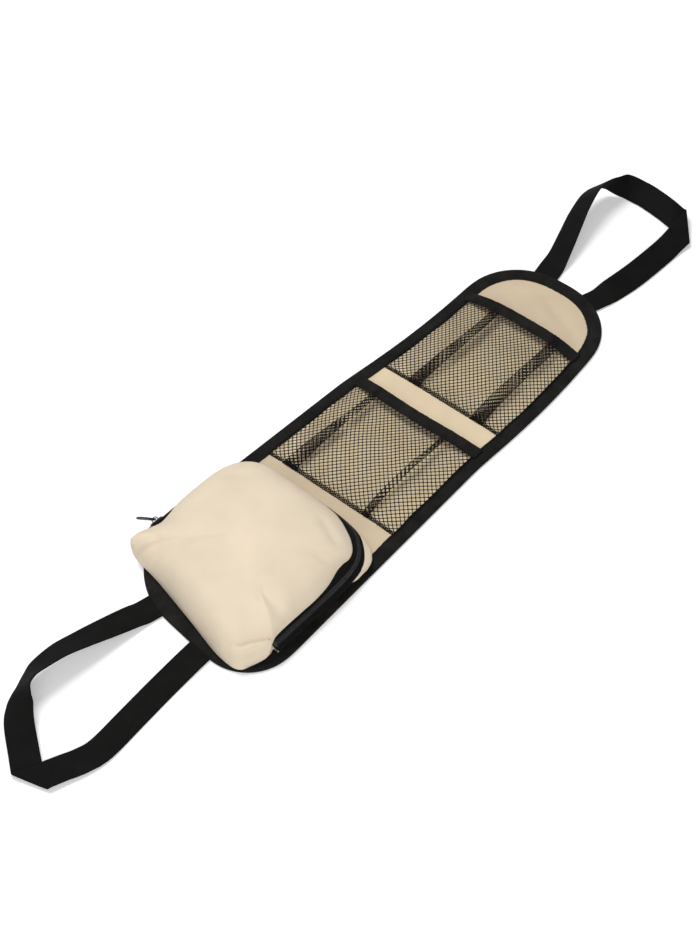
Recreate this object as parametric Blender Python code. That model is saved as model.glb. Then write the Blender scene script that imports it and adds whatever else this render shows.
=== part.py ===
"""Car seat side organizer: a flat cloth panel edged with black tape, two mesh
pockets, one zipped pocket that stands up when filled, and a loop of webbing at
each end.  It lies on its back.  Metres, +X to the round head end, +Y to the
side where the zip closes, +Z up, with the origin under the middle of the panel."""

import bisect
import math

import bmesh
import bpy
from mathutils import Vector

# Panel
panel_length = 0.555
foot_width = 0.185
head_width = 0.1445
panel_thickness = 0.0026
border_thickness = 0.0014
foot_slant = 0.020
near_foot_radius = 0.045
far_foot_radius = 0.085
head_radius = 0.066
head_lean = 0.0045
lean_from = 0.56
lean_span = 0.36
outline_stations = 84

# Edge tape, folded round the border of the panel
tape_width = 0.0125
tape_thickness = 0.0006
seam_gap = 0.0003
tape_round = 0.00036
slot_depth = 0.020

# Mesh pockets
mesh_thickness = 0.0008
mesh_strand_width = 0.0026
mesh_hem_width = 0.0040
mesh_cells_along = 10
mesh_cells_across = 12
mesh_bulge = 0.0090
mesh_belly_span = 0.6
mesh_belly_power = 0.8
mesh_arch_power = 3
mesh_mouth_gape = 0.0065
mouth_stations = 20
pleat_height = 0.0050
pleat_reach = 0.16
upper_seam_from_foot = 0.3515
upper_mouth_from_foot = 0.4825
upper_mouth_sag = 0.0
upper_pleats = (-0.66, 0.44)
lower_seam_from_foot = 0.1995
lower_mouth_from_foot = 0.3270
lower_mouth_sag = 0.0065
lower_pleats = (-0.55, 0.66)

# Zipped pocket
pocket_foot_setback = 0.0140
pocket_head_from_foot = 0.1740
pocket_base_width = 0.1460
pocket_foot_slant = 0.034
pocket_head_radius = 0.034
pocket_near_radius = 0.026
pocket_far_radius = 0.020
pocket_far_base_radius = 0.036
pocket_side_flare = 0.0130
pocket_head_flare = 0.0060
pocket_foot_flare = 0.0175
pocket_seam_inset = 0.0085
pocket_foot_inset = 0.0020
gusset_height = 0.0106
gusset_thickness = 0.0008
gusset_belly = 0.62
gusset_sag = 0.00085
face_thickness = 0.0010
face_crown = 0.0210
face_turn = 86.0
face_squareness = 0.55
face_rows = 6

# Zip
zip_strip_width = 0.0150
zip_tape_thickness = 0.0006
zip_tape_step = 0.0070
teeth_pitch = 0.0050
teeth_width = 0.0050
teeth_thickness = 0.0018
teeth_gap = 0.0004
teeth_bite = 0.0008
slider_slit = 0.0016
zip_start_from_foot = 0.0560
zip_end_from_foot = 0.0385
slider_from_start = 0.0095
slider_travel = 0.0650
stop_length = 0.0022
stop_front = 0.0007
stop_back = 0.0014
slider_length = 0.0115
slider_width = 0.0088
slider_tail_width = 0.0076
slider_nose_width = 0.0060
slider_nose_length = 0.0037
slider_plate = 0.0012
slider_clearance = 0.0005
slider_post_width = 0.0008
slider_post_length = 0.0022
slider_post_setback = 0.0007
bail_length = 0.0066
bail_height = 0.0032
bail_width = 0.0015
bail_slope = 0.0007
bail_bar = 0.0009
pull_length = 0.0170
pull_width = 0.0062
pull_bar_width = 0.0050
pull_chamfer = 0.0015
pull_thickness = 0.0011
pull_window_length = 0.0048
pull_window_width = 0.0030
pull_hole_radius = 0.0013
pull_hole_from_tip = 0.0031
pull_rest_angle = 42.0
hole_sides = 16

# Webbing loops
webbing_width = 0.0250
webbing_thickness = 0.0014
fold_opening = 0.0036
fold_steps = 6
span_steps = 3

half_length = panel_length / 2
border_bottom = tape_thickness + seam_gap
border_top = border_bottom + border_thickness
tape_top_underside = border_top + seam_gap
tape_top = tape_top_underside + tape_thickness
on_panel = panel_thickness + seam_gap
tucked = border_bottom + webbing_thickness / 2
laid = webbing_thickness / 2

# Where the middle of each loop lies: x, y, height, and roll in degrees, from
# its root on the far side of the panel to the folded corner, and then back.
HEAD_LOOP_OUT = (
    (0.2665, 0.0235, tucked, 0),
    (0.2850, 0.0268, tucked, 0),
    (0.3070, 0.0315, 0.0062, 21),
    (0.3320, 0.0385, 0.0136, 28),
    (0.3570, 0.0455, 0.0210, 34),
    (0.3830, 0.0505, 0.0254, 40),
    (0.4010, 0.0500, 0.0242, 47),
    (0.4170, 0.0455, 0.0193, 62),
    (0.4275, 0.0350, 0.0124, 112),
    (0.4298, 0.0200, 0.0082, 150),
    (0.4280, 0.0020, 0.0080, 152),
    (0.4275, -0.0120, 0.0060, 160),
)
HEAD_LOOP_FOLD = (0.4290, -0.0390)
HEAD_LOOP_BACK = (
    (0.3980, -0.0440, 0.0062, 14),
    (0.3780, -0.0450, 0.0062, 24),
    (0.3280, -0.0430, 0.0062, 24),
    (0.3000, -0.0385, 0.0046, 18),
    (0.2810, -0.0332, tucked, 0),
    (0.2600, -0.0265, tucked, 0),
)
FOOT_LOOP_OUT = (
    (-0.2560, 0.0280, tucked, 180),
    (-0.2760, 0.0328, tucked, 180),
    (-0.2900, 0.0365, 0.0058, 178),
    (-0.3140, 0.0408, 0.0105, 170),
    (-0.3360, 0.0447, 0.0148, 163),
    (-0.3600, 0.0488, 0.0182, 157),
    (-0.3800, 0.0505, 0.0184, 148),
    (-0.3950, 0.0495, 0.0166, 128),
    (-0.4035, 0.0445, 0.0138, 84),
    (-0.4140, 0.0345, 0.0100, 40),
    (-0.4290, 0.0170, 0.0068, 26),
    (-0.4390, 0.0030, 0.0046, 16),
)
FOOT_LOOP_FOLD = (-0.4530, -0.0170)
FOOT_LOOP_BACK = (
    (-0.4230, -0.0350, 0.0032, 180),
    (-0.4020, -0.0378, 0.0016, 180),
    (-0.3600, -0.0342, laid, 180),
    (-0.3200, -0.0315, laid, 180),
    (-0.2860, -0.0303, tucked, 180),
    (-0.2660, -0.0298, tucked, 180),
)


def clear_scene():
    for item in list(bpy.data.objects):
        bpy.data.objects.remove(item, do_unlink=True)


def make_material(name, colour, roughness, metallic=0.0):
    material = bpy.data.materials.new(name)
    material.use_nodes = True
    shader = material.node_tree.nodes["Principled BSDF"]
    shader.inputs["Base Color"].default_value = (*colour, 1.0)
    shader.inputs["Roughness"].default_value = roughness
    shader.inputs["Metallic"].default_value = metallic
    return material


def add_object(name, bm, material, parent=None):
    """Turn a closed bmesh into an object, its faces pointing out."""
    bmesh.ops.recalc_face_normals(bm, faces=bm.faces[:])
    bmesh.ops.triangulate(bm, faces=bm.faces[:])
    mesh = bpy.data.meshes.new(name)
    bm.to_mesh(mesh)
    bm.free()
    if material:
        mesh.materials.append(material)
    item = bpy.data.objects.new(name, mesh)
    bpy.context.scene.collection.objects.link(item)
    item.parent = parent
    return item


def skin(rings, wrap):
    """Join rings of equal count into one surface, and cap it if it isn't wrapped."""
    bm = bmesh.new()
    rows = [[bm.verts.new(point) for point in ring] for ring in rings]
    count = len(rows[0])
    pairs = list(zip(rows, rows[1:]))
    if wrap:
        pairs.append((rows[-1], rows[0]))
    for low, high in pairs:
        for k in range(count):
            n = (k + 1) % count
            bm.faces.new((low[k], low[n], high[n], high[k]))
    if not wrap:
        bm.faces.new(list(reversed(rows[0])))
        bm.faces.new(rows[-1])
    return bm


def smooth_curve(points, steps):
    """A curve through (x, y, height, roll) stations, steps to each span.  Its
    plan is a Catmull-Rom curve, and height and roll never overshoot."""
    def slope(before, here, after, level):
        rise = here - before
        fall = after - here
        if not level:
            return (rise + fall) / 2
        return 2 * rise * fall / (rise + fall) if rise * fall > 0 else 0.0

    padded = [[2 * a - b for a, b in zip(points[0], points[1])], *points]
    padded.append([2 * a - b for a, b in zip(points[-1], points[-2])])
    curve = []
    for k in range(1, len(padded) - 2):
        for step in range(steps):
            t = step / steps
            station = []
            for axis, (p0, p1, p2, p3) in enumerate(zip(*padded[k - 1:k + 3])):
                leave = slope(p0, p1, p2, axis > 1)
                arrive = slope(p1, p2, p3, axis > 1)
                station.append(
                    (1 + 2 * t) * (1 - t) ** 2 * p1 + t * (1 - t) ** 2 * leave
                    + t * t * (3 - 2 * t) * p2 + t * t * (t - 1) * arrive
                )
            curve.append(station)
    curve.append(list(points[-1]))
    return curve


def spaced(points, count, closed):
    """Points at even distances along a polyline."""
    line = [Vector(p) for p in points]
    if closed:
        line.append(line[0])
    reach = [0.0]
    for a, b in zip(line, line[1:]):
        reach.append(reach[-1] + (b - a).length)
    spans = count if closed else count - 1
    result = []
    k = 0
    for i in range(count):
        target = reach[-1] * i / spans
        while k < len(line) - 2 and reach[k + 1] < target:
            k += 1
        share = (target - reach[k]) / (reach[k + 1] - reach[k])
        result.append(line[k].lerp(line[k + 1], share))
    return result


def rounded_polygon(corners, radii, arc_steps=24):
    """Counter-clockwise corners with an arc at each."""
    outline = []
    for k, corner in enumerate(corners):
        here = Vector(corner)
        before = (Vector(corners[k - 1]) - here).normalized()
        after = (Vector(corners[(k + 1) % len(corners)]) - here).normalized()
        half_angle = before.angle(after) / 2
        centre = here + (before + after).normalized() * (radii[k] / math.sin(half_angle))
        start = here + before * (radii[k] / math.tan(half_angle)) - centre
        sweep = math.pi - 2 * half_angle
        for step in range(arc_steps + 1):
            turn = sweep * step / arc_steps
            outline.append(centre + Vector((
                start.x * math.cos(turn) - start.y * math.sin(turn),
                start.x * math.sin(turn) + start.y * math.cos(turn),
            )))
    return outline


def moved_in(outline, inset):
    """The closed outline moved in by a distance, or out by a negative one."""
    result = []
    count = len(outline)
    for k in range(count):
        along = (outline[(k + 1) % count] - outline[k - 1]).normalized()
        result.append(outline[k] + Vector((-along.y, along.x)) * inset)
    return result


def at_height(outline, height):
    return [Vector((p.x, p.y, height)) for p in outline]


def lean(x):
    """How far the panel's middle lies to one side: the head sways over and back."""
    sway = (x + half_length) / panel_length - lean_from
    return head_lean * math.sin(math.pi * (sway / lean_span - 1)) if sway > 0 else 0.0


def half_width(x):
    """Half of the panel's width, which narrows evenly to the head."""
    reach = (x + half_length) / panel_length
    return (foot_width + (head_width - foot_width) * reach) / 2


def panel_outline():
    foot_x = -half_length
    head_x = half_length
    run = foot_slant / foot_width * near_foot_radius
    corners = (
        (foot_x - run, -foot_width / 2),
        (head_x, -head_width / 2),
        (head_x, head_width / 2),
        (foot_x - run + foot_slant, foot_width / 2),
    )
    radii = (near_foot_radius, head_radius, head_radius, far_foot_radius)
    straight = rounded_polygon(corners, radii)
    even = spaced(straight, outline_stations, closed=True)
    return [Vector((p.x, p.y + lean(p.x))) for p in even]


def inner_edge(x, side):
    """Where the edge tape ends on the panel, on one side."""
    slope = (foot_width - head_width) / 2 / panel_length
    return lean(x) + side * (half_width(x) - tape_width * math.hypot(1, slope))


def build_panel(material):
    outline = panel_outline()
    border = moved_in(outline, tape_thickness + seam_gap)
    body = moved_in(outline, tape_width + seam_gap)
    rings = [
        at_height(body, 0.0),
        at_height(body, border_bottom),
        at_height(border, border_bottom),
        at_height(border, border_top),
        at_height(body, border_top),
        at_height(body, panel_thickness),
    ]
    panel = add_object("back_panel", skin(rings, wrap=False), material)
    for slot in webbing_slots("panel_notch", seam_gap, 0.0, tape_top):
        cut(panel, slot)


def build_edge_binding(material):
    outline = panel_outline()
    profile = (
        (tape_width, 0.0),
        (tape_round, 0.0),
        (0.0, tape_round),
        (0.0, tape_top - tape_round),
        (tape_round, tape_top),
        (tape_width, tape_top),
        (tape_width, tape_top_underside),
        (tape_thickness, tape_top_underside),
        (tape_thickness, tape_thickness),
        (tape_width, tape_thickness),
    )
    rings = [at_height(moved_in(outline, inset), z) for inset, z in profile]
    binding = add_object("edge_binding", skin(rings, wrap=True), material)
    low = tape_thickness + seam_gap / 2
    high = tape_top_underside - seam_gap / 2
    for slot in webbing_slots("tape_slot", seam_gap, low, high):
        cut(binding, slot)


def cut(item, cutter):
    modifier = item.modifiers.new("slot", "BOOLEAN")
    modifier.operation = "DIFFERENCE"
    modifier.object = cutter
    hide_guide(cutter)


def join(item, other):
    modifier = item.modifiers.new("join", "BOOLEAN")
    modifier.operation = "UNION"
    modifier.object = other
    hide_guide(other)


def hide_guide(item):
    item.hide_render = True
    item.display_type = "WIRE"


def webbing_slots(name, clearance, low, high):
    """Flat cutters round the four webbing ends, which enter through the edge tape."""
    slots = []
    for route in (HEAD_LOOP_OUT, HEAD_LOOP_BACK[::-1], FOOT_LOOP_OUT, FOOT_LOOP_BACK[::-1]):
        root = Vector(route[0][:2])
        along = (Vector(route[1][:2]) - root).normalized()
        across = Vector((-along.y, along.x)) * (webbing_width / 2 + clearance)
        start = root - along * clearance
        end = root + along * slot_depth
        ring = (start - across, start + across, end + across, end - across)
        rings = [at_height(ring, low), at_height(ring, high)]
        slots.append(add_object(f"{name}_{len(slots) + 1}", skin(rings, wrap=False), None))
    return slots


def mesh_surface(pocket, along, across):
    """A point of a pocket's wall: along runs from the seam (0) to the mouth (1),
    and across from the near side (-1) to the far side (1)."""
    seam, mouth, mouth_sag, pleats = pocket
    sag = mouth_sag * (1 - across * across)
    x = seam - half_length + (mouth - seam - sag) * along
    low = inner_edge(x, -1) + seam_gap
    high = inner_edge(x, 1) - seam_gap
    y = low + (high - low) * (across + 1) / 2
    hemmed = 1 - tape_width / (mouth - seam)
    climb = min(1.0, along / hemmed)
    hem = on_panel + (tape_thickness + seam_gap) * climb
    arch = 1 - abs(across) ** mesh_arch_power
    belly = math.sin(math.pi * climb * mesh_belly_span) ** mesh_belly_power
    at_mouth = climb ** 2
    swell = mesh_bulge * belly * (1 - at_mouth) + mesh_mouth_gape * at_mouth
    fold = sum(max(0.0, 1 - abs(across - p) / pleat_reach) for p in pleats)
    fold *= pleat_height * belly * (1 - at_mouth)
    return Vector((x, y, hem + (swell + fold) * arch))


def lattice_cells(corner):
    """The strands laid flat, counted in cells.  They cross where the column and
    the row add up to an odd number, and the diamonds between them are open."""
    columns, rows = mesh_cells_along, mesh_cells_across

    def crossing(i, j):
        return {
            "E": (i + corner[0], j) if i < columns else None,
            "N": (i, j + corner[1]) if j < rows else None,
            "W": (i - corner[0], j) if i > 0 else None,
            "S": (i, j - corner[1]) if j > 0 else None,
        }

    cells = []
    for i in range(columns + 1):
        for j in range(rows + 1):
            if (i + j) % 2 == 0:
                continue
            here = crossing(i, j)
            cells.append([point for point in here.values() if point])
            if j == rows:
                continue
            if i < columns:
                there = crossing(i + 1, j + 1)
                cells.append([here["E"], there["S"], there["W"], here["N"]])
            if i > 0:
                there = crossing(i - 1, j + 1)
                cells.append([here["N"], there["E"], there["S"], here["W"]])
    return cells


def hem_cells(corner, hem):
    """The solid hem round the lattice, counted in the same cells."""
    count = (mesh_cells_along, mesh_cells_across)
    cells = []
    for axis in (0, 1):
        other = 1 - axis
        for side in (0, 1):
            inner = count[axis] * side
            outer = inner + hem[axis] * (2 * side - 1)
            marks = {-hem[other], 0.0, float(count[other]), count[other] + hem[other]}
            if axis == 1:
                marks = {0.0, float(count[other])}
            for step in range(count[other] + 1):
                if (inner + step) % 2:
                    ends = (step - corner[other], step + corner[other])
                    marks.update(mark for mark in ends if 0 < mark < count[other])
            marks = sorted(marks)
            for a, b in zip(marks, marks[1:]):
                cell = [(outer, a), (inner, a), (inner, b), (outer, b)]
                if axis == 1:
                    cell = [(x, y) for y, x in cell]
                cells.append(cell[::-1] if (axis + side) % 2 else cell)
    return cells


def build_mesh_pocket(name, pocket, material):
    """A bellied wall of crossed strands inside a solid hem."""
    seam, mouth = pocket[:2]
    length = mouth - seam
    half = (inner_edge(seam - half_length, 1) - inner_edge(seam - half_length, -1)) / 2
    step = (
        (length - 2 * mesh_hem_width) / mesh_cells_along,
        2 * (half - mesh_hem_width) / mesh_cells_across,
    )
    corner = [mesh_strand_width / math.sqrt(2) / size for size in step]
    hem = [mesh_hem_width / size for size in step]
    bm = bmesh.new()
    found = {}

    def vertex(point, level):
        if (point, level) not in found:
            along = (mesh_hem_width + point[0] * step[0]) / length
            across = -1 + (mesh_hem_width + point[1] * step[1]) / half
            place = mesh_surface(pocket, along, across)
            place.z += mesh_thickness * level
            found[point, level] = bm.verts.new(place)
        return found[point, level]

    edges = set()
    for cell in lattice_cells(corner) + hem_cells(corner, hem):
        ring = [(round(x, 6), round(y, 6)) for x, y in cell]
        edges.update(zip(ring, ring[1:] + ring[:1]))
        bm.faces.new([vertex(point, 1) for point in ring])
        bm.faces.new([vertex(point, 0) for point in reversed(ring)])
    for a, b in sorted(edges):
        if (b, a) not in edges:
            bm.faces.new([vertex(a, 0), vertex(b, 0), vertex(b, 1), vertex(a, 1)])
    return add_object(name, bm, material)


def build_mouth_binding(name, pocket, material):
    """Tape folded over the top hem of a mesh pocket, swept across the mouth."""
    seam, mouth = pocket[:2]
    reach = (tape_width - tape_thickness - 2 * seam_gap) / (mouth - seam)
    under = Vector((0, 0, -seam_gap))
    over = Vector((0, 0, mesh_thickness + seam_gap))
    wall = Vector((0, 0, tape_thickness))
    clear = Vector((seam_gap, 0, 0))
    fold = Vector((tape_thickness, 0, 0))
    rings = []
    for k in range(mouth_stations + 1):
        across = -1 + 2 * k / mouth_stations
        hem = mesh_surface(pocket, 1.0, across)
        back = mesh_surface(pocket, 1.0 - reach, across)
        rings.append([
            back + under - wall,
            hem + clear + fold + under - wall,
            hem + clear + fold + over + wall,
            back + over + wall,
            back + over,
            hem + clear + over,
            hem + clear + under,
            back + under,
        ])
    return add_object(name, skin(rings, wrap=False), material)


def pocket_plan(side_out, head_out, foot_out, far_radius):
    """The zipped pocket's outline as seen from above, flared out from its base."""
    foot_x = -half_length + pocket_foot_setback - foot_out
    head_x = -half_length + pocket_head_from_foot + head_out
    side = pocket_base_width / 2 + side_out
    corners = ((foot_x, -side), (head_x, -side), (head_x, side), (foot_x + pocket_foot_slant, side))
    radii = (pocket_near_radius, pocket_head_radius, pocket_head_radius, far_radius)
    return spaced(rounded_polygon(corners, radii), outline_stations, closed=True)


def zip_levels():
    """Lower and upper edge of the zip strip, which leans in towards the top."""
    low = pocket_plan(pocket_side_flare, pocket_head_flare, pocket_foot_flare, pocket_far_radius)
    high = pocket_plan(
        pocket_side_flare - pocket_seam_inset,
        pocket_head_flare - pocket_seam_inset,
        pocket_foot_flare - pocket_foot_inset,
        pocket_far_radius,
    )
    rise = math.sqrt(zip_strip_width ** 2 - pocket_seam_inset ** 2)
    zip_z = on_panel + gusset_height
    return at_height(low, zip_z), at_height(high, zip_z + rise)


ZIP_LOW, ZIP_HIGH = zip_levels()


def place_on_loop(loop, x, side):
    """Where a loop passes x on one long side, as a place counted in its points."""
    count = len(loop)
    for k in range(count):
        a = loop[k]
        b = loop[(k + 1) % count]
        if a.y * side > 0 and b.y * side > 0 and (a.x - x) * (b.x - x) <= 0 and a.x != b.x:
            return k + (x - a.x) / (b.x - a.x)
    raise ValueError("the loop doesn't pass this place")


def on_loop(loop, place):
    k = int(math.floor(place))
    return loop[k % len(loop)].lerp(loop[(k + 1) % len(loop)], place - k)


def zip_run():
    """Places round the pocket where the zip opens on the near side and closes on the far one."""
    near = place_on_loop(ZIP_LOW, -half_length + zip_end_from_foot, -1)
    far = place_on_loop(ZIP_LOW, -half_length + zip_start_from_foot, 1)
    return near, far


def strip_point(place, share, depth):
    """A point of the zip strip: share runs from its lower edge (0) to its upper (1),
    and depth is measured outward from its face."""
    here = on_loop(ZIP_LOW, place)
    there = on_loop(ZIP_HIGH, place)
    along = on_loop(ZIP_LOW, place + 0.5) - on_loop(ZIP_LOW, place - 0.5)
    outward = along.cross(there - here).normalized()
    return here.lerp(there, share) + outward * depth


def places_between(first, last, step):
    """Places at an even real distance apart along the zip's lower edge."""
    fine = [first + (last - first) * k / 800 for k in range(801)]
    line = [on_loop(ZIP_LOW, place) for place in fine]
    reach = [0.0]
    for a, b in zip(line, line[1:]):
        reach.append(reach[-1] + (b - a).length)
    count = max(2, round(reach[-1] / step))
    return [place_at_reach(fine, reach, reach[-1] * k / count) for k in range(count + 1)]


def place_at_reach(places, reach, target):
    k = min(max(bisect.bisect_left(reach, target) - 1, 0), len(reach) - 2)
    share = (target - reach[k]) / (reach[k + 1] - reach[k])
    return places[k] + (places[k + 1] - places[k]) * share


def build_gusset(material):
    """The wall from the panel to the zip, and at the foot up to the face."""
    near, far = zip_run()
    base = at_height(pocket_plan(0.0, 0.0, 0.0, pocket_far_base_radius), on_panel)
    drop = Vector((0, 0, seam_gap))
    sag = Vector((0, 0, gusset_sag))
    top = []
    for k, (low, high) in enumerate(zip(ZIP_LOW, ZIP_HIGH)):
        zipped = near - 1 < k < far + 1
        top.append((low if zipped else high) - drop)
    belly = [a.lerp(b, gusset_belly) - sag for a, b in zip(base, ZIP_LOW)]
    outer = [base, belly, top]
    inner = [inner_wall(ring, gusset_thickness) for ring in outer]
    return add_object("pocket_gusset", skin([*outer, *inner[::-1]], wrap=True), material)


def inner_wall(ring, thickness):
    """A ring moved in level by a wall's thickness."""
    plan = moved_in([Vector((p.x, p.y)) for p in ring], thickness)
    return [Vector((q.x, q.y, p.z)) for p, q in zip(ring, plan)]


def build_face(material):
    """The puffed front of the zipped pocket: a thin shell, open underneath."""
    rim = [p + Vector((0, 0, seam_gap)) for p in ZIP_HIGH]
    outer = dome(rim, face_crown)
    inner = dome(inner_wall(rim, face_thickness), face_crown - face_thickness)
    return add_object("pocket_face", skin([*inner[::-1], *outer], wrap=False), material)


def dome(rim, crown):
    """Rings from the rim up over the top, square-shouldered as a full pocket is."""
    middle = sum(rim, Vector()) / len(rim)
    rings = [rim]
    for row in range(1, face_rows + 1):
        turn = math.radians(face_turn) * row / face_rows
        share = math.cos(turn) ** face_squareness
        height = Vector((0, 0, crown * math.sin(turn)))
        rings.append([middle.lerp(p, share) + height for p in rim])
    return rings


def build_zip_tape(name, first_share, last_share, material):
    near, far = zip_run()
    rings = []
    for place in places_between(near, far, zip_tape_step):
        rings.append([
            strip_point(place, first_share, 0.0),
            strip_point(place, last_share, 0.0),
            strip_point(place, last_share, -zip_tape_thickness),
            strip_point(place, first_share, -zip_tape_thickness),
        ])
    return add_object(name, skin(rings, wrap=False), material)


def build_teeth(name, row, material):
    """One row of zip teeth.  The rows mesh, but for the run in which the slider
    moves, where its post passes between them."""
    near, far = zip_run()
    keep = (stop_length + 2 * seam_gap) / (on_loop(ZIP_LOW, near + 1) - on_loop(ZIP_LOW, near)).length
    places = places_between(near + keep, far - keep, teeth_pitch / 2)
    start_x = -half_length + zip_start_from_foot
    slit_end_x = start_x + slider_from_start + slider_travel + slider_length
    rings = []
    for k, place in enumerate(places):
        here = strip_point(place, 0.5, 0.0)
        if here.y > 0 and here.x < slit_end_x:
            edge = slider_slit / 2
        else:
            edge = (-teeth_bite if k % 2 == 0 else teeth_bite) * row + teeth_gap / 2
        shares = [0.5 + row * (reach / zip_strip_width) for reach in (edge, teeth_width / 2)]
        rings.append([
            strip_point(place, shares[0], teeth_thickness / 3),
            strip_point(place, shares[1], teeth_thickness / 3),
            strip_point(place, shares[1], -teeth_thickness * 2 / 3),
            strip_point(place, shares[0], -teeth_thickness * 2 / 3),
        ])
    return add_object(name, skin(rings, wrap=False), material)


def build_stop(name, place, direction, material):
    """A crimped block that ends the zip, seated between the two tapes."""
    span = (on_loop(ZIP_LOW, place + 1) - on_loop(ZIP_LOW, place)).length
    rings = []
    for reach in (seam_gap, stop_length):
        at = place + direction * reach / span
        ring = []
        for side, depth in ((-1, stop_front), (1, stop_front), (1, -stop_back), (-1, -stop_back)):
            share = 0.5 + side * teeth_width / 2 / zip_strip_width
            ring.append(strip_point(at, share, depth))
        rings.append(ring)
    return add_object(name, skin(rings, wrap=False), material)


def prism(name, outline, low, high, axis, material=None, parent=None):
    """An outline pushed along one axis: 'y' for an outline in x and z, 'z' for one in x and y."""
    rings = []
    for level in (low, high):
        if axis == "y":
            rings.append([Vector((a, level, b)) for a, b in outline])
        else:
            rings.append([Vector((a, b, level)) for a, b in outline])
    return add_object(name, skin(rings, wrap=False), material, parent)


def slider_frame():
    """An empty on the zip strip where the slider rests: x along the zip, y outward."""
    x = -half_length + zip_start_from_foot + slider_from_start
    place = place_on_loop(ZIP_LOW, x, 1)
    frame = bpy.data.objects.new("slider_frame", None)
    bpy.context.scene.collection.objects.link(frame)
    frame.location = strip_point(place, 0.5, 0.0)
    frame.rotation_euler.x = math.asin(pocket_seam_inset / zip_strip_width)
    return frame


def build_slider(frame, material):
    """Two plates held by a post at the nose, with lips over the tapes and a bail."""
    half = slider_length / 2
    wide = slider_width / 2
    tail = slider_tail_width / 2
    nose = slider_nose_width / 2
    shoulder = slider_nose_length - half
    shield = ((-half, -nose), (shoulder, -wide), (half, -tail),
              (half, tail), (shoulder, wide), (-half, nose))
    front = teeth_thickness / 3 + slider_clearance
    back = -teeth_thickness * 2 / 3 - slider_clearance
    bite = slider_plate / 2
    slider = prism("zipper_slider", shield, front, front + slider_plate, "y", material, frame)
    join(slider, prism("slider_back_plate", shield, back - slider_plate, back, "y", None, frame))

    post_start = slider_post_setback - half
    post_end = post_start + slider_post_length
    thin = slider_post_width / 2
    post = ((post_start, -thin), (post_end, -thin), (post_end, thin), (post_start, thin))
    join(slider, prism("slider_post", post, back - bite, front + bite, "y", None, frame))

    lip_inner = teeth_width / 2 + slider_clearance
    lip_front = slider_clearance
    lip_back = -zip_tape_thickness - slider_clearance
    for side in (-1, 1):
        edge = side * lip_inner
        lip = ((shoulder, side * wide), (half, side * tail), (half, edge), (shoulder, edge))
        join(slider, prism(f"front_lip_{side + 2}", lip, lip_front, front + bite, "y", None, frame))
        join(slider, prism(f"back_lip_{side + 2}", lip, back - bite, lip_back, "y", None, frame))

    root = front + bite
    crown = front + slider_plate + bail_height
    long = bail_length / 2
    short = long - bail_slope
    arch = (
        (-long, root), (-short, crown), (short, crown), (long, root), (long - bail_bar, root),
        (short - bail_bar, crown - bail_bar), (bail_bar - short, crown - bail_bar), (bail_bar - long, root),
    )
    join(slider, prism("slider_bail", arch, -bail_width / 2, bail_width / 2, "z", None, frame))
    return slider


def build_pull(frame, material):
    """A flat tab whose cross bar lies under the bail, with a hole near its end."""
    top = teeth_thickness / 3 + slider_clearance + slider_plate
    pivot = bpy.data.objects.new("pull_pivot", None)
    bpy.context.scene.collection.objects.link(pivot)
    pivot.parent = frame
    pivot.location.y = top + (bail_height - bail_bar) / 2
    pivot.rotation_euler.z = math.radians(-pull_rest_angle)
    bar = pull_thickness / 2
    wide = pull_width / 2
    tip = bar - pull_length
    narrow = pull_bar_width / 2
    tab = ((bar, -narrow), (bar, narrow), (-pull_window_length, wide),
           (tip + pull_chamfer, wide), (tip, wide - pull_chamfer), (tip, -wide + pull_chamfer),
           (tip + pull_chamfer, -wide), (-pull_window_length, -wide))
    pull = prism("zipper_pull", tab, -bar, bar, "y", material, pivot)
    clear = pull_window_width / 2
    window = ((-bar, -clear), (-bar, clear), (-bar - pull_window_length, clear),
              (-bar - pull_window_length, -clear))
    cut(pull, prism("pull_window", window, -3 * bar, 3 * bar, "y", None, pivot))
    hole_x = tip + pull_hole_from_tip
    hole = [(hole_x + pull_hole_radius * math.cos(turn), pull_hole_radius * math.sin(turn))
            for turn in (math.tau * k / hole_sides for k in range(hole_sides))]
    cut(pull, prism("pull_hole", hole, -3 * bar, 3 * bar, "y", None, pivot))
    return pull


def rulings(route):
    """Straight lines across the webbing along a route, from one edge to the other."""
    curve = smooth_curve(route, span_steps)
    lines = []
    for k, (x, y, z, roll) in enumerate(curve):
        ahead = Vector(curve[min(k + 1, len(curve) - 1)][:3])
        behind = Vector(curve[max(k - 1, 0)][:3])
        along = (ahead - behind).normalized()
        side = along.cross(Vector((0, 0, 1))).normalized()
        up = side.cross(along)
        turn = math.radians(roll)
        across = (side * math.cos(turn) + up * math.sin(turn)) * webbing_width / 2
        middle = Vector((x, y, z))
        lines.append((middle - across, middle + across))
    return lines


def fold_rulings(route_in, fold, route_out):
    """The folded corner: lines parallel to the crease, taken round its bend."""
    crease_middle = Vector((*fold, 0.0))
    heading_in = (crease_middle - Vector((*route_in[-1][:2], 0.0))).normalized()
    heading_out = (Vector((*route_out[0][:2], 0.0)) - crease_middle).normalized()
    crease = (heading_in + heading_out).normalized()
    outward = (heading_in - heading_out).normalized()
    half = webbing_width / 2 / abs(crease.cross(heading_in).z)
    low = laid + seam_gap
    bend = fold_opening / 2
    lines = []
    for k in range(fold_steps + 1):
        turn = math.pi * k / fold_steps
        middle = crease_middle + outward * bend * (math.sin(turn) - 1)
        middle.z = low + bend * (1 - math.cos(turn))
        lines.append((middle + crease * half, middle - crease * half))
    return lines


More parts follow.
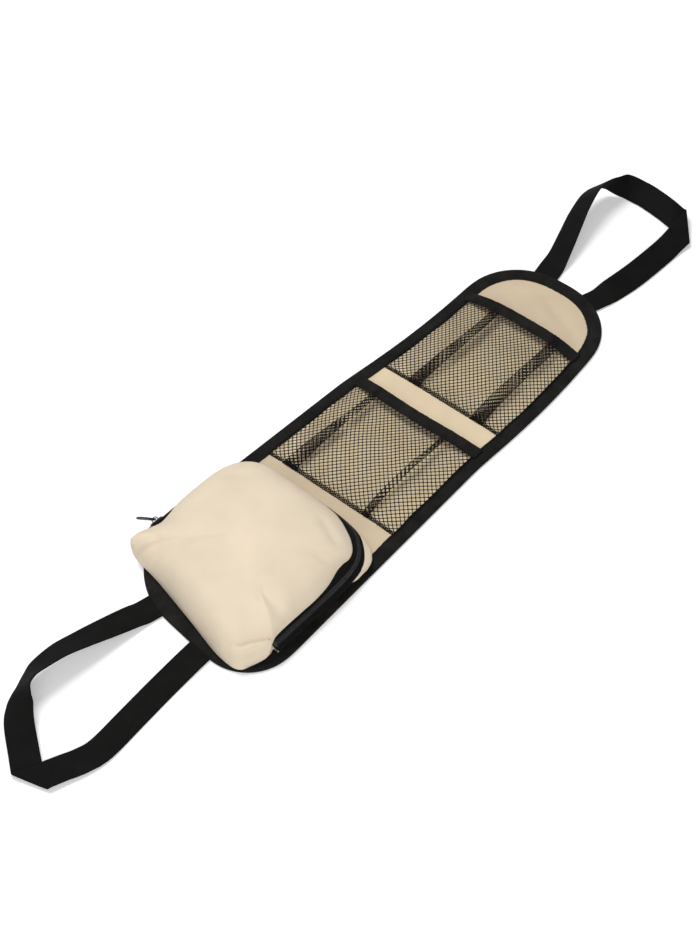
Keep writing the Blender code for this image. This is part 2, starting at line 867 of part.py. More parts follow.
def build_webbing(name, route_out, fold, route_back, material):
    """One length of webbing, out round the loop, over the folded corner and back."""
    lines = [*rulings(route_out), *fold_rulings(route_out, fold, route_back), *rulings(route_back)]
    rings = []
    for k, (a, b) in enumerate(lines):
        ahead = lines[min(k + 1, len(lines) - 1)]
        behind = lines[max(k - 1, 0)]
        along = (ahead[0] + ahead[1] - behind[0] - behind[1]).normalized()
        normal = (b - a).cross(along).normalized() * webbing_thickness / 2
        rings.append([a + normal, b + normal, b - normal, a - normal])
    return add_object(name, skin(rings, wrap=False), material)


def main():
    clear_scene()
    cloth = make_material("beige_cloth", (0.80, 0.69, 0.52), 0.85)
    tape = make_material("black_tape", (0.012, 0.012, 0.013), 0.75)
    net = make_material("black_mesh", (0.015, 0.014, 0.013), 0.80)
    build_panel(cloth)
    build_edge_binding(tape)
    upper = (upper_seam_from_foot, upper_mouth_from_foot, upper_mouth_sag, upper_pleats)
    lower = (lower_seam_from_foot, lower_mouth_from_foot, lower_mouth_sag, lower_pleats)
    build_mesh_pocket("upper_mesh_pocket", upper, net)
    build_mesh_pocket("lower_mesh_pocket", lower, net)
    build_mouth_binding("upper_mouth_binding", upper, tape)
    build_mouth_binding("lower_mouth_binding", lower, tape)
    build_gusset(cloth)
    build_face(cloth)
    half_teeth = (teeth_width / 2 + seam_gap) / zip_strip_width
    edge = seam_gap / zip_strip_width
    build_zip_tape("zipper_tape_back", edge, 0.5 - half_teeth, tape)
    build_zip_tape("zipper_tape_front", 0.5 + half_teeth, 1 - edge, tape)
    build_teeth("zipper_teeth_back", -1, tape)
    build_teeth("zipper_teeth_front", 1, tape)
    near, far = zip_run()
    build_stop("zipper_bottom_stop", near, 1, tape)
    build_stop("zipper_top_stop", far, -1, tape)
    frame = slider_frame()
    build_slider(frame, tape)
    build_pull(frame, tape)
    build_webbing("head_webbing_loop", HEAD_LOOP_OUT, HEAD_LOOP_FOLD, HEAD_LOOP_BACK, tape)
    build_webbing("foot_webbing_loop", FOOT_LOOP_OUT, FOOT_LOOP_FOLD, FOOT_LOOP_BACK, tape)


main()
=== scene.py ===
"""Looks of the car seat side organizer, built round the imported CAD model.  Metres."""
import math

import bmesh
import bpy
import numpy as np
from mathutils import Matrix, Vector
from mathutils.kdtree import KDTree


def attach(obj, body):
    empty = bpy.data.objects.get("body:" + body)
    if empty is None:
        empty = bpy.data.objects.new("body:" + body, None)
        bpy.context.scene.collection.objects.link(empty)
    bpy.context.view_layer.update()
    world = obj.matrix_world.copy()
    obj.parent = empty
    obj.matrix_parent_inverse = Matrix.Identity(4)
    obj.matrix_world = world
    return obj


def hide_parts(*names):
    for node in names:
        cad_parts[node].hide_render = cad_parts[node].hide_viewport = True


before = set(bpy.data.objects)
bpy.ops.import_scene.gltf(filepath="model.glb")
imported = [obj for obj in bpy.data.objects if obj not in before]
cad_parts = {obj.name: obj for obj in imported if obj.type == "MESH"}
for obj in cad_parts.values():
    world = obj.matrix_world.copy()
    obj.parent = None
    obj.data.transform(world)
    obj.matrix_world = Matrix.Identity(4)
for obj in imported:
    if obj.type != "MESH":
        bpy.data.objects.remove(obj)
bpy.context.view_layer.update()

MM = 0.001

# Panel and tape, as in the CAD model
HALF_LENGTH = 0.2775
FOOT_WIDTH = 0.185
HEAD_WIDTH = 0.1445
TAPE_WIDTH = 0.0125
TAPE_TOP = 0.0032
PANEL_TOP = 0.0026
TUCKED = 0.0016
FOOT_SKEW = 0.020
PANEL_RADII = (0.045, 0.066, 0.066, 0.085)
HEAD_LEAN, LEAN_FROM, LEAN_SPAN = 0.0045, 0.56, 0.36
# The panel's lower cloth has its own place in the UV map, this far to the side
BACK_UV = 0.4

# Zipped pocket: its ends are measured from the panel's foot, and RIM points go round it
RIM = 480
POCKET_FROM, POCKET_TO = 0.0140, 0.1740
POCKET_HALF_WIDTH = 0.073
POCKET_SKEW = 0.034
POCKET_RADII = (0.026, 0.034, 0.034)
BASE_Z = 0.0029
ZIP_LOW_Z = 0.0135
ZIP_HIGH_Z = 0.02586
SIDE_FLARE, HEAD_FLARE, FOOT_FLARE = 0.0130, 0.0060, 0.0175
SEAM_INSET, FOOT_INSET = 0.0085, 0.0020
STRIP_WIDTH = 0.0150
ZIP_START_X = -0.2215
ZIP_END_X = -0.2390
SLIDER = Vector((-0.210087, 0.08175, 0.01968))
SLIDER_TILT = math.asin(SEAM_INSET / STRIP_WIDTH)
SLIDER_TRAVEL = 0.065
PULL_PIVOT = Vector((-0.210087, 0.084593, 0.021635))
PULL_ANGLE = math.radians(42)

# Webbing
WEBBING_WIDTH = 0.025
WEBBING_THICKNESS = 0.0014
LAID = WEBBING_THICKNESS / 2
FOLD_OPENING = 0.0036

# Stations of a strap's middle line: x, y, height, and how far it is rolled over in degrees
HEAD_OUT = (
    (0.2665, 0.0235, TUCKED, 0), (0.2850, 0.0268, TUCKED, 0), (0.3070, 0.0315, 0.0062, 21),
    (0.3320, 0.0385, 0.0136, 28), (0.3570, 0.0455, 0.0210, 34), (0.3830, 0.0505, 0.0254, 40),
    (0.4010, 0.0500, 0.0242, 47), (0.4150, 0.0460, 0.0190, 66), (0.4270, 0.0365, 0.0122, 116),
    (0.4312, 0.0200, 0.0090, 139), (0.4298, 0.0020, 0.0086, 142), (0.4278, -0.0140, 0.0076, 148),
)
HEAD_FOLD = (0.4215, -0.0430)
HEAD_BACK = (
    (0.3900, -0.0446, 0.0062, 16), (0.3720, -0.0450, 0.0062, 24), (0.3280, -0.0430, 0.0062, 24),
    (0.3000, -0.0385, 0.0046, 18), (0.2810, -0.0332, TUCKED, 0), (0.2600, -0.0265, TUCKED, 0),
)
FOOT_OUT = (
    (-0.2560, 0.0280, TUCKED, 180), (-0.2760, 0.0325, TUCKED, 180), (-0.2900, 0.0358, 0.0044, 179),
    (-0.3140, 0.0407, 0.0092, 173), (-0.3360, 0.0447, 0.0140, 165), (-0.3600, 0.0488, 0.0180, 157),
    (-0.3790, 0.0501, 0.0184, 148), (-0.3895, 0.0494, 0.0172, 136), (-0.3985, 0.0470, 0.0152, 131),
    (-0.4060, 0.0428, 0.0128, 142), (-0.4125, 0.0375, 0.0106, 158), (-0.4232, 0.0272, 0.0078, 171),
    (-0.4398, 0.0038, 0.0042, 178),
)
FOOT_FOLD = (-0.4530, -0.0170)
FOOT_BACK = (
    (-0.4290, -0.0272, 0.0038, 0), (-0.4130, -0.0335, 0.0026, 0), (-0.3950, -0.0366, 0.0014, 0),
    (-0.3600, -0.0342, LAID, 0), (-0.3200, -0.0315, LAID, 0), (-0.2860, -0.0303, TUCKED, 0),
    (-0.2660, -0.0298, TUCKED, 0),
)


# Meshes and outlines

def link_new(name, data):
    item = bpy.data.objects.new(name, data)
    bpy.context.scene.collection.objects.link(item)
    return item


def place_mesh(name, mesh, material, body, replaces, sharp=None):
    """A smooth object of one material, riding on a body."""
    mesh.shade_smooth()
    if sharp is not None:
        mesh.set_sharp_from_angle(angle=math.radians(sharp))
    mesh.materials.clear()
    mesh.materials.append(material)
    item = link_new(name, mesh)
    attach(item, body)
    if replaces:
        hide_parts(*replaces)
    return item


def make_object(name, chunks, material, replaces=(), body="organizer", sharp=None):
    """One mesh from chunks of (points, faces, corner uvs)."""
    points, faces, uvs = [], [], []
    start = 0
    for chunk_points, chunk_faces, chunk_uvs in chunks:
        chunk_points = np.asarray(chunk_points, float).reshape(-1, 3)
        points.append(chunk_points)
        faces.extend([[start + int(k) for k in face] for face in chunk_faces])
        uvs.append(np.asarray(chunk_uvs, float).reshape(-1, 2))
        start += len(chunk_points)
    mesh = bpy.data.meshes.new(name)
    mesh.from_pydata(np.vstack(points).tolist(), [], faces)
    layer = mesh.uv_layers.new(name="UVMap")
    layer.data.foreach_set("uv", np.vstack(uvs).astype(np.float32).ravel())
    bm = bmesh.new()
    bm.from_mesh(mesh)
    bmesh.ops.recalc_face_normals(bm, faces=bm.faces[:])
    bm.to_mesh(mesh)
    bm.free()
    return place_mesh(name, mesh, material, body, replaces, sharp)


def grid(points, uvs, wrap_rows=False, wrap_cols=False, caps=False):
    """A chunk from rows and columns of points.  uvs has a column or row more where it wraps."""
    n, m = points.shape[:2]
    rows = n if wrap_rows else n - 1
    cols = m if wrap_cols else m - 1
    i, j = np.meshgrid(np.arange(rows), np.arange(cols), indexing="ij")
    i2, j2 = (i + 1) % n, (j + 1) % m
    faces = np.stack([i * m + j, i * m + j2, i2 * m + j2, i2 * m + j], -1).reshape(-1, 4).tolist()
    corner = np.stack([uvs[i, j], uvs[i, j + 1], uvs[i + 1, j + 1], uvs[i + 1, j]], 2).reshape(-1, 2)
    if caps:
        faces.append(list(range(m))[::-1])
        faces.append([(n - 1) * m + k for k in range(m)])
        corner = np.vstack([corner, np.zeros((2 * m, 2))])
    return points.reshape(-1, 3), faces, corner


def distances(line):
    """How far each point of a line lies along it."""
    return np.r_[0, np.cumsum(np.linalg.norm(np.diff(line, axis=0), axis=1))]


def resample(points, count, closed=False):
    """Points at even distances along a line, and its length."""
    line = np.asarray(points, float)
    if closed:
        line = np.vstack([line, line[:1]])
    reach = distances(line)
    at = np.linspace(0, reach[-1], count, endpoint=not closed)
    return np.stack([np.interp(at, reach, line[:, k]) for k in range(line.shape[1])], 1), reach[-1]


def unit(v):
    return v / np.maximum(np.linalg.norm(v, axis=-1, keepdims=True), 1e-12)


def inward(outline):
    """Unit normals of a closed counter-clockwise outline in plan, pointing in."""
    along = unit(np.roll(outline, -1, 0) - np.roll(outline, 1, 0))
    return np.stack([-along[:, 1], along[:, 0]], 1)


def soften(values, width):
    """Round off a closed run of values with a bell of that many samples."""
    reach = int(3 * width)
    bell = np.exp(-0.5 * (np.arange(-reach, reach + 1) / width) ** 2)
    bell /= bell.sum()
    return sum(w * np.roll(values, k, 0) for w, k in zip(bell, range(-reach, reach + 1)))


def ripple(x, y, scale, seed):
    """A smooth uneven field from -1 to 1, with bumps about scale apart."""
    rng = np.random.default_rng(seed)
    total = 0
    for _ in range(7):
        turn = rng.uniform(0, math.tau)
        wave = rng.uniform(0.6, 1.5) * math.tau / scale
        total = total + np.sin((x * math.cos(turn) + y * math.sin(turn)) * wave + rng.uniform(0, math.tau))
    return total / 4.2


def ripple_line(s, scale, seed, period=None):
    """The same along a line; where it closes on itself, period is its length."""
    rng = np.random.default_rng(seed)
    total = 0
    for _ in range(7):
        wave = rng.uniform(0.6, 1.5) / scale
        if period:
            wave = max(1, round(wave * period)) / period
        total = total + np.sin(s * wave * math.tau + rng.uniform(0, math.tau))
    return total / 4.2


def smooth_step(x, low, high):
    t = np.clip((x - low) / (high - low), 0, 1)
    return t * t * (3 - 2 * t)


def rounded_polygon(corners, radii, steps=24):
    outline = []
    for k, corner in enumerate(corners):
        here = Vector(corner)
        before = (Vector(corners[k - 1]) - here).normalized()
        after = (Vector(corners[(k + 1) % len(corners)]) - here).normalized()
        half = before.angle(after) / 2
        centre = here + (before + after).normalized() * (radii[k] / math.sin(half))
        start = here + before * (radii[k] / math.tan(half)) - centre
        for step in range(steps + 1):
            turn = (math.pi - 2 * half) * step / steps
            outline.append((
                centre.x + start.x * math.cos(turn) - start.y * math.sin(turn),
                centre.y + start.x * math.sin(turn) + start.y * math.cos(turn),
            ))
    return np.array(outline)


# Materials

class Nodes:
    """Short calls for building a material's nodes."""

    def __init__(self, name):
        self.material = bpy.data.materials.new(name)
        self.material.use_nodes = True
        self.tree = self.material.node_tree
        self.shader = self.tree.nodes["Principled BSDF"]
        self.links = self.tree.links

    def put(self, socket, value):
        if isinstance(value, bpy.types.NodeSocket):
            self.links.new(value, socket)
        elif value is not None:
            socket.default_value = value

    def math(self, operation, a, b=None, c=None):
        node = self.tree.nodes.new("ShaderNodeMath")
        node.operation = operation
        for socket, value in zip(node.inputs, (a, b, c)):
            self.put(socket, value)
        return node.outputs[0]

    def add(self, a, b):
        return self.math("ADD", a, b)

    def times(self, a, b):
        return self.math("MULTIPLY", a, b)

    def blend(self, first, *others):
        """The sum of some values, each times its share."""
        total = self.times(*first)
        for value, share in others:
            total = self.add(total, self.times(value, share))
        return total

    def uv(self):
        node = self.tree.nodes.new("ShaderNodeUVMap")
        node.uv_map = "UVMap"
        split = self.tree.nodes.new("ShaderNodeSeparateXYZ")
        self.links.new(node.outputs[0], split.inputs[0])
        return split.outputs[0], split.outputs[1]

    def place(self):
        return self.tree.nodes.new("ShaderNodeTexCoord").outputs["Object"]

    def noise(self, scale, detail=3.0, vector=None, rough=0.55):
        node = self.tree.nodes.new("ShaderNodeTexNoise")
        node.inputs["Scale"].default_value = scale
        node.inputs["Detail"].default_value = detail
        node.inputs["Roughness"].default_value = rough
        self.links.new(vector or self.place(), node.inputs["Vector"])
        return node.outputs["Fac"]

    def ramp(self, factor, stops):
        node = self.tree.nodes.new("ShaderNodeValToRGB")
        elements = node.color_ramp.elements
        while len(elements) < len(stops):
            elements.new(0.5)
        for element, (position, colour) in zip(elements, stops):
            element.position = position
            element.color = (*colour, 1.0)
        self.put(node.inputs[0], factor)
        return node.outputs[0]

    def bump(self, height, distance, strength=1.0, normal=None):
        node = self.tree.nodes.new("ShaderNodeBump")
        node.inputs["Strength"].default_value = strength
        node.inputs["Distance"].default_value = distance
        self.put(node.inputs["Height"], height)
        if normal is not None:
            self.put(node.inputs["Normal"], normal)
        return node.outputs[0]

    def wave(self, coordinate, pitch):
        """0 at the gaps between threads and 1 on their tops."""
        return self.math("ABSOLUTE", self.math("SINE", self.times(coordinate, math.pi / pitch)))

    def weave(self, u, v, pitch_u, pitch_v):
        """Plain weave: warp and weft pass over each other by turns."""
        cell_u = self.math("FLOOR", self.math("DIVIDE", u, pitch_u))
        cell_v = self.math("FLOOR", self.math("DIVIDE", v, pitch_v))
        odd = self.math("ABSOLUTE", self.math("MODULO", self.add(cell_u, cell_v), 2.0))
        warp = self.times(self.wave(u, pitch_u), odd)
        weft = self.times(self.wave(v, pitch_v), self.math("SUBTRACT", 1.0, odd))
        return self.add(warp, weft)

    def finish(self, colour, roughness, normal, sheen=0.0, sheen_rough=0.5, specular=0.5, metallic=0.0):
        self.put(self.shader.inputs["Base Color"], colour)
        self.put(self.shader.inputs["Roughness"], roughness)
        self.put(self.shader.inputs["Normal"], normal)
        self.shader.inputs["Sheen Weight"].default_value = sheen
        self.shader.inputs["Sheen Roughness"].default_value = sheen_rough
        self.shader.inputs["Specular IOR Level"].default_value = specular
        self.shader.inputs["Metallic"].default_value = metallic
        return self.material


def shades(colour, spread):
    return [tuple(c * f for c in colour) for f in (1 - spread, 1, 1 + spread * 0.7)]


def cloth_material(name, colour, pitch=0.55 * MM, painted_light_colour=None, painted_light_runs=()):
    """Beige woven polyester: fine plain weave, uneven dye and a little fuzz, with painted shade in the
    weave's gaps.
    It may be painted lighter over runs of x on its upper side: painted light where the nets' shade falls."""
    n = Nodes(name)
    u, v = n.uv()
    weave = n.weave(u, v, pitch, pitch)
    blotch = n.noise(28.0, 4.0)
    slub = n.noise(1400.0, 2.0)
    # Random dye blotches and slubs, and a little of the weave, whose gaps get painted shade
    mixed = n.blend((blotch, 0.62), (slub, 0.22), (weave, 0.14))

    def mottled(ramp_colour):
        return n.ramp(mixed, list(zip((0.28, 0.5, 0.74), shades(ramp_colour, 0.085))))

    tone = mottled(colour)
    # Painted light: a lighter copy of the cloth over the runs, cancelling the shade the nets cast
    if painted_light_colour:
        inside = 0.0
        upper = n.math("LESS_THAN", v, BACK_UV / 2)
        for low, high, share in painted_light_runs:
            run = n.times(n.math("GREATER_THAN", u, low), n.math("LESS_THAN", u, high))
            inside = n.add(inside, n.times(n.times(run, upper), share))
        mix = n.tree.nodes.new("ShaderNodeMix")
        mix.data_type = "RGBA"
        n.put(mix.inputs["Factor"], inside)
        n.put(mix.inputs[6], tone)
        n.put(mix.inputs[7], mottled(painted_light_colour))
        tone = mix.outputs[2]
    rough = n.add(0.78, n.times(slub, 0.14))
    soft = n.bump(n.noise(95.0, 3.0), 0.35 * MM, 0.5)
    normal = n.bump(weave, 0.09 * MM, 0.75, soft)
    normal = n.bump(slub, 0.05 * MM, 0.6, normal)
    return n.finish(tone, rough, normal, sheen=0.12, sheen_rough=0.6, specular=0.28)


def ribbed_material(name, colour, rib, thread, diagonal=0.0, sheen=0.10, lightened=0.5):
    """Black woven tape: ribs across its length, fine threads along it, and tops painted lighter, partly dust
    and partly a painted highlight.
    """
    n = Nodes(name)
    u, v = n.uv()
    slant = n.add(u, n.times(v, diagonal)) if diagonal else u
    ribs = n.wave(slant, rib)
    threads = n.wave(v, thread)
    height = n.blend((ribs, 0.62), (threads, 0.38))
    dust = n.noise(60.0, 4.0)
    fine = n.noise(1100.0, 3.0)
    # The tone follows the threads' height: lighter tops are painted highlight and darker gaps painted shade,
    # varied at random by dust and fine noise
    level = n.blend((height, 0.45), (dust, 0.35), (fine, 0.2))
    # How much lighter the tops are painted, partly dust and partly painted highlight
    tops = tuple(c * (1 + 3.0 * lightened) for c in colour)
    tone = n.ramp(level, [(0.15, tuple(c * 0.45 for c in colour)), (0.5, colour), (0.82, tops)])
    rough = n.math("SUBTRACT", 0.80, n.times(ribs, 0.16))
    soft = n.bump(n.noise(120.0, 3.0), 0.3 * MM, 0.5)
    normal = n.bump(height, 0.16 * MM, 0.9, soft)
    normal = n.bump(fine, 0.14 * MM, 0.8, normal)
    return n.finish(tone, rough, normal, sheen=sheen, sheen_rough=0.4, specular=0.06)


def thread_material(name, colour):
    n = Nodes(name)
    u, v = n.uv()
    twist = n.wave(n.add(u, v), 0.35 * MM)
    fine = n.noise(2200.0, 2.0)
    # Painted highlight on the twist's ridges and painted shade in its grooves
    dark, light = (tuple(c * times for c in colour) for times in (0.5, 1.8))
    tone = n.ramp(n.blend((twist, 0.6), (fine, 0.4)), [(0.1, dark), (0.6, colour), (0.95, light)])
    rough = n.add(0.5, n.times(fine, 0.2))
    return n.finish(tone, rough, n.bump(twist, 0.06 * MM, 0.8), sheen=0.01, specular=0.10)


def coated_material(name, colour, metallic, rough_low, rough_high, chip):
    """Moulded plastic or lacquered metal, with fine grain and polish on its edges."""
    n = Nodes(name)
    grain = n.noise(900.0, 3.0)
    smear = n.noise(160.0, 4.0)
    edge = n.tree.nodes.new("ShaderNodeNewGeometry").outputs["Pointiness"]
    wear = n.add(edge, n.times(n.math("SUBTRACT", smear, 0.5), 0.06))
    lightened = n.ramp(wear, [(0.52, colour), (0.60, chip)])
    rough = n.add(rough_low, n.times(smear, rough_high - rough_low))
    return n.finish(lightened, rough, n.bump(grain, 0.03 * MM, 0.5), specular=0.5, metallic=metallic)


FACE_CLOTH = cloth_material("face_cloth", (0.845, 0.715, 0.540))
# Runs of x where the panel is painted lighter, with their shares: painted light behind the nets, cancelling
# their shade, and partly on the strip between them
BEHIND_NETS = ((-0.0765, 0.0440, 1.0), (0.0440, 0.0755, 0.40), (0.0755, 0.1990, 1.0))
# The panel's cloth is a darker copy of the front's, as painted shade, and lighter over the runs above
PANEL_SHADED_CLOTH = cloth_material("panel_cloth_painted_shade", (0.680, 0.550, 0.385), painted_light_colour=(0.99, 0.81, 0.54),
                             painted_light_runs=BEHIND_NETS)
# The gusset's cloth is a little darker copy of the front's: painted shade
GUSSET_SHADED_CLOTH = cloth_material("gusset_cloth_painted_shade", (0.800, 0.675, 0.505))
TAPE = ribbed_material("binding_tape", (0.0060, 0.0058, 0.0055), 0.95 * MM, 0.60 * MM, sheen=0.02, lightened=1.6)
WEBBING = ribbed_material("webbing", (0.0050, 0.0051, 0.0048), 1.30 * MM, 0.90 * MM, 0.7, sheen=0.01)
ZIP_TAPE = ribbed_material("zip_tape", (0.0050, 0.0048, 0.0048), 0.80 * MM, 0.50 * MM, 1.0, sheen=0.01)
NET = thread_material("mesh_yarn", (0.0065, 0.0058, 0.0050))
THREAD = thread_material("sewing_thread", (0.0070, 0.0068, 0.0066))
TEETH = coated_material("nylon_teeth", (0.006, 0.006, 0.006), 0.0, 0.62, 0.78, (0.018, 0.018, 0.018))
METAL = coated_material("black_lacquer", (0.020, 0.020, 0.021), 0.20, 0.30, 0.50, (0.085, 0.08, 0.075))


# Outlines of the panel and pockets

def lean(x):
    """How far the panel's middle lies to one side: the head sways over and back."""
    sway = (np.asarray(x) + HALF_LENGTH) / (2 * HALF_LENGTH) - LEAN_FROM
    return HEAD_LEAN * np.where(sway > 0, np.sin(math.pi * (sway / LEAN_SPAN - 1)), 0.0)


def half_width(x):
    reach = (np.asarray(x) + HALF_LENGTH) / (2 * HALF_LENGTH)
    return (FOOT_WIDTH + (HEAD_WIDTH - FOOT_WIDTH) * reach) / 2


def panel_outline(count):
    run = FOOT_SKEW / FOOT_WIDTH * PANEL_RADII[0]
    corners = (
        (-HALF_LENGTH - run, -FOOT_WIDTH / 2), (HALF_LENGTH, -HEAD_WIDTH / 2),
        (HALF_LENGTH, HEAD_WIDTH / 2), (-HALF_LENGTH - run + FOOT_SKEW, FOOT_WIDTH / 2),
    )
    outline, _ = resample(rounded_polygon(corners, PANEL_RADII), count, closed=True)
    outline[:, 1] += lean(outline[:, 0])
    outline = soften(outline, count * 0.006)
    return resample(outline, count, closed=True)


def inner_edge(x, side):
    return lean(x) + side * (half_width(x) - TAPE_WIDTH)


def pocket_plan(side_out, head_out, foot_out, far_radius):
    """The zipped pocket's outline, let out by some amount at its sides and ends."""
    foot_x = -HALF_LENGTH + POCKET_FROM - foot_out
    head_x = -HALF_LENGTH + POCKET_TO + head_out
    side = POCKET_HALF_WIDTH + side_out
    corners = ((foot_x, -side), (head_x, -side), (head_x, side), (foot_x + POCKET_SKEW, side))
    outline, _ = resample(rounded_polygon(corners, (*POCKET_RADII, far_radius)), RIM, closed=True)
    return outline


# Sewn work

def swept(outline, profile):
    """The wavy tape round a closed outline: profile is a ring of (inset, height)."""
    normal = inward(outline)
    length = resample(outline, 8, closed=True)[1]
    count, sides = len(outline), len(profile)
    ring = np.array(profile)
    points = np.zeros((count, sides, 3))
    s = np.arange(count) * length / count
    for j, (inset, z) in enumerate(ring):
        inward_by, height = tape_wobble(s, inset, z, length)
        points[:, j, :2] = outline + normal * np.reshape(inward_by, (-1, 1))
        points[:, j, 2] = height
    around = distances(np.vstack([ring, ring[:1]]))
    u = np.append(s, length)
    uvs = np.stack(np.meshgrid(u, around, indexing="ij"), -1)
    return grid(points, uvs, wrap_rows=True, wrap_cols=True)


# Place along the stitch, how deep it lies and how thick it is there, in radii
STITCH_SHAPE = ((-0.5, 1.6, 0.45), (-0.36, 0.35, 0.9), (0.0, -0.25, 1.0), (0.36, 0.35, 0.9), (0.5, 1.6, 0.45))


def stitch_chunk(centre, along, up, length, radius=0.24 * MM):
    """One stitch: a short thread that dives into the cloth at both ends."""
    along = unit(np.asarray(along, float))
    up = unit(np.asarray(up, float) - along * np.dot(up, along))
    side = np.cross(along, up)
    rings = []
    for t, sink, fat in STITCH_SHAPE:
        middle = np.asarray(centre) + along * t * length - up * sink * radius
        turn = np.arange(6) * math.tau / 6
        rings.append(middle + radius * fat * (np.cos(turn)[:, None] * side + np.sin(turn)[:, None] * up))
    points = np.array(rings)
    u, v = np.meshgrid(np.linspace(0, length, 5), np.linspace(0, 1.5 * MM, 7), indexing="ij")
    return grid(points, np.stack([u, v], -1), wrap_cols=True, caps=True)


def stitch_run(line, ups, pitch=2.7 * MM):
    """Stitches at an even pitch along a line, with an up direction at each of its points."""
    data, _ = resample(np.hstack([line, ups]), max(3, int(resample(line, 3)[1] / pitch)))
    return [
        stitch_chunk(data[k, :3], data[k + 1, :3] - data[k - 1, :3], data[k, 3:], pitch * 0.78)
        for k in range(1, len(data) - 1)
    ]


def tape_wobble(s, inset, z, length):
    """The tape isn't dead straight: its inner edge wanders and it puckers at its stitches."""
    share = inset / TAPE_WIDTH
    foot = smooth_step(s / length, 0.84, 0.88) * (1 - smooth_step(s / length, 0.965, 0.995))
    inset = inset * (1.08 + 0.14 * np.exp(-((s / length - 0.500) / 0.085) ** 2) + 0.20 * foot)
    wander = 0.35 * MM * ripple_line(s, 0.045, 3, length) + 0.12 * MM * ripple_line(s, 0.011, 4, length)
    inset = inset + wander * share ** 2
    if z > 1.8 * MM:
        pucker = 0.10 * MM * ripple_line(s, 0.007, 5, length) + 0.16 * MM * ripple_line(s, 0.03, 6, length)
        pucker = pucker + foot * 0.38 * MM * ripple_line(s, 0.012, 7, length)
        z = z + pucker * (0.35 + 0.65 * math.sin(math.pi * min(1, share)))
    return inset, z + 0 * s


# The row of stitches lies this far from the tape's inner edge
SEAM_IN = 2.2 * MM


def build_binding():
    """Tape folded round the panel's border, with a row of stitches on each side."""
    outline, length = panel_outline(1100)
    w, top = TAPE_WIDTH, TAPE_TOP
    profile = [
        (w, 0.05 * MM), (w * 0.66, 0.0), (w * 0.3, 0.0), (0.9 * MM, 0.08 * MM), (0.25 * MM, 0.5 * MM),
        (0.0, 1.2 * MM), (0.05 * MM, 2.0 * MM), (0.4 * MM, 2.75 * MM), (1.1 * MM, top + 0.02 * MM),
        (2.6 * MM, top + 0.2 * MM), (w * 0.42, top + 0.28 * MM), (w * 0.62, top + 0.16 * MM),
        (w - 2.9 * MM, top - 0.02 * MM), (w - 2.2 * MM, top - 0.22 * MM), (w - 1.5 * MM, top + 0.02 * MM),
        (w - 0.5 * MM, top + 0.12 * MM), (w, top - 0.1 * MM), (w - 0.1 * MM, 2.55 * MM),
        (w * 0.6, 2.3 * MM), (1.2 * MM, 2.2 * MM), (1.2 * MM, 0.8 * MM), (w * 0.6, 0.6 * MM),
    ]
    make_object("binding", [swept(outline, profile)], TAPE, ["edge_binding"])
    for name, height, up in (("front", top - 0.02 * MM, 1.0), ("back", 0.1 * MM, -1.0)):
        run = np.arange(len(outline)) * length / len(outline)
        inset = tape_wobble(run, w - SEAM_IN, 0.0, length)[0]
        line = outline + inward(outline) * np.reshape(inset, (-1, 1))
        line = np.hstack([line, np.full((len(line), 1), height)])
        line = np.vstack([line, line[:1]])
        ups = np.tile([0.0, 0.0, up], (len(line), 1))
        make_object(f"binding_stitches_{name}", stitch_run(line, ups), THREAD)


# Soft folds at the head: height in mm, a place, the direction across and the half width
HEAD_FOLDS = (
    (1.3, 0.232, -0.006, 0.8, -0.55, 0.0085), (-0.9, 0.246, 0.020, 0.7, 0.7, 0.0080),
    (-1.0, 0.228, -0.034, 0.9, -0.4, 0.0080),
)


def panel_top(x, y, inset):
    """Height of the panel's upper cloth, which puffs up a little away from its seams."""
    puff = smooth_step(inset, TAPE_WIDTH, TAPE_WIDTH + 0.014)
    soft = 0.22 * MM * ripple(x, y, 0.045, 11) + 0.10 * MM * ripple(x, y, 0.018, 12)
    head = smooth_step(x, 0.205, 0.225)
    fold = 0
    for height, at_x, at_y, run_x, run_y, wide in HEAD_FOLDS:
        off = (x - at_x) * run_x + (y - at_y) * run_y
        fold = fold + height * MM * np.exp(-(off / wide) ** 2) * head
    return PANEL_TOP - 0.15 * MM + (0.55 * MM + soft + fold) * puff


def distance_in(outline, x, y):
    """How far the points lie from the outline."""
    tree = KDTree(len(outline))
    for k, (a, b) in enumerate(outline):
        tree.insert((a, b, 0), k)
    tree.balance()
    return np.array([tree.find((a, b, 0))[2] for a, b in zip(x, y)])


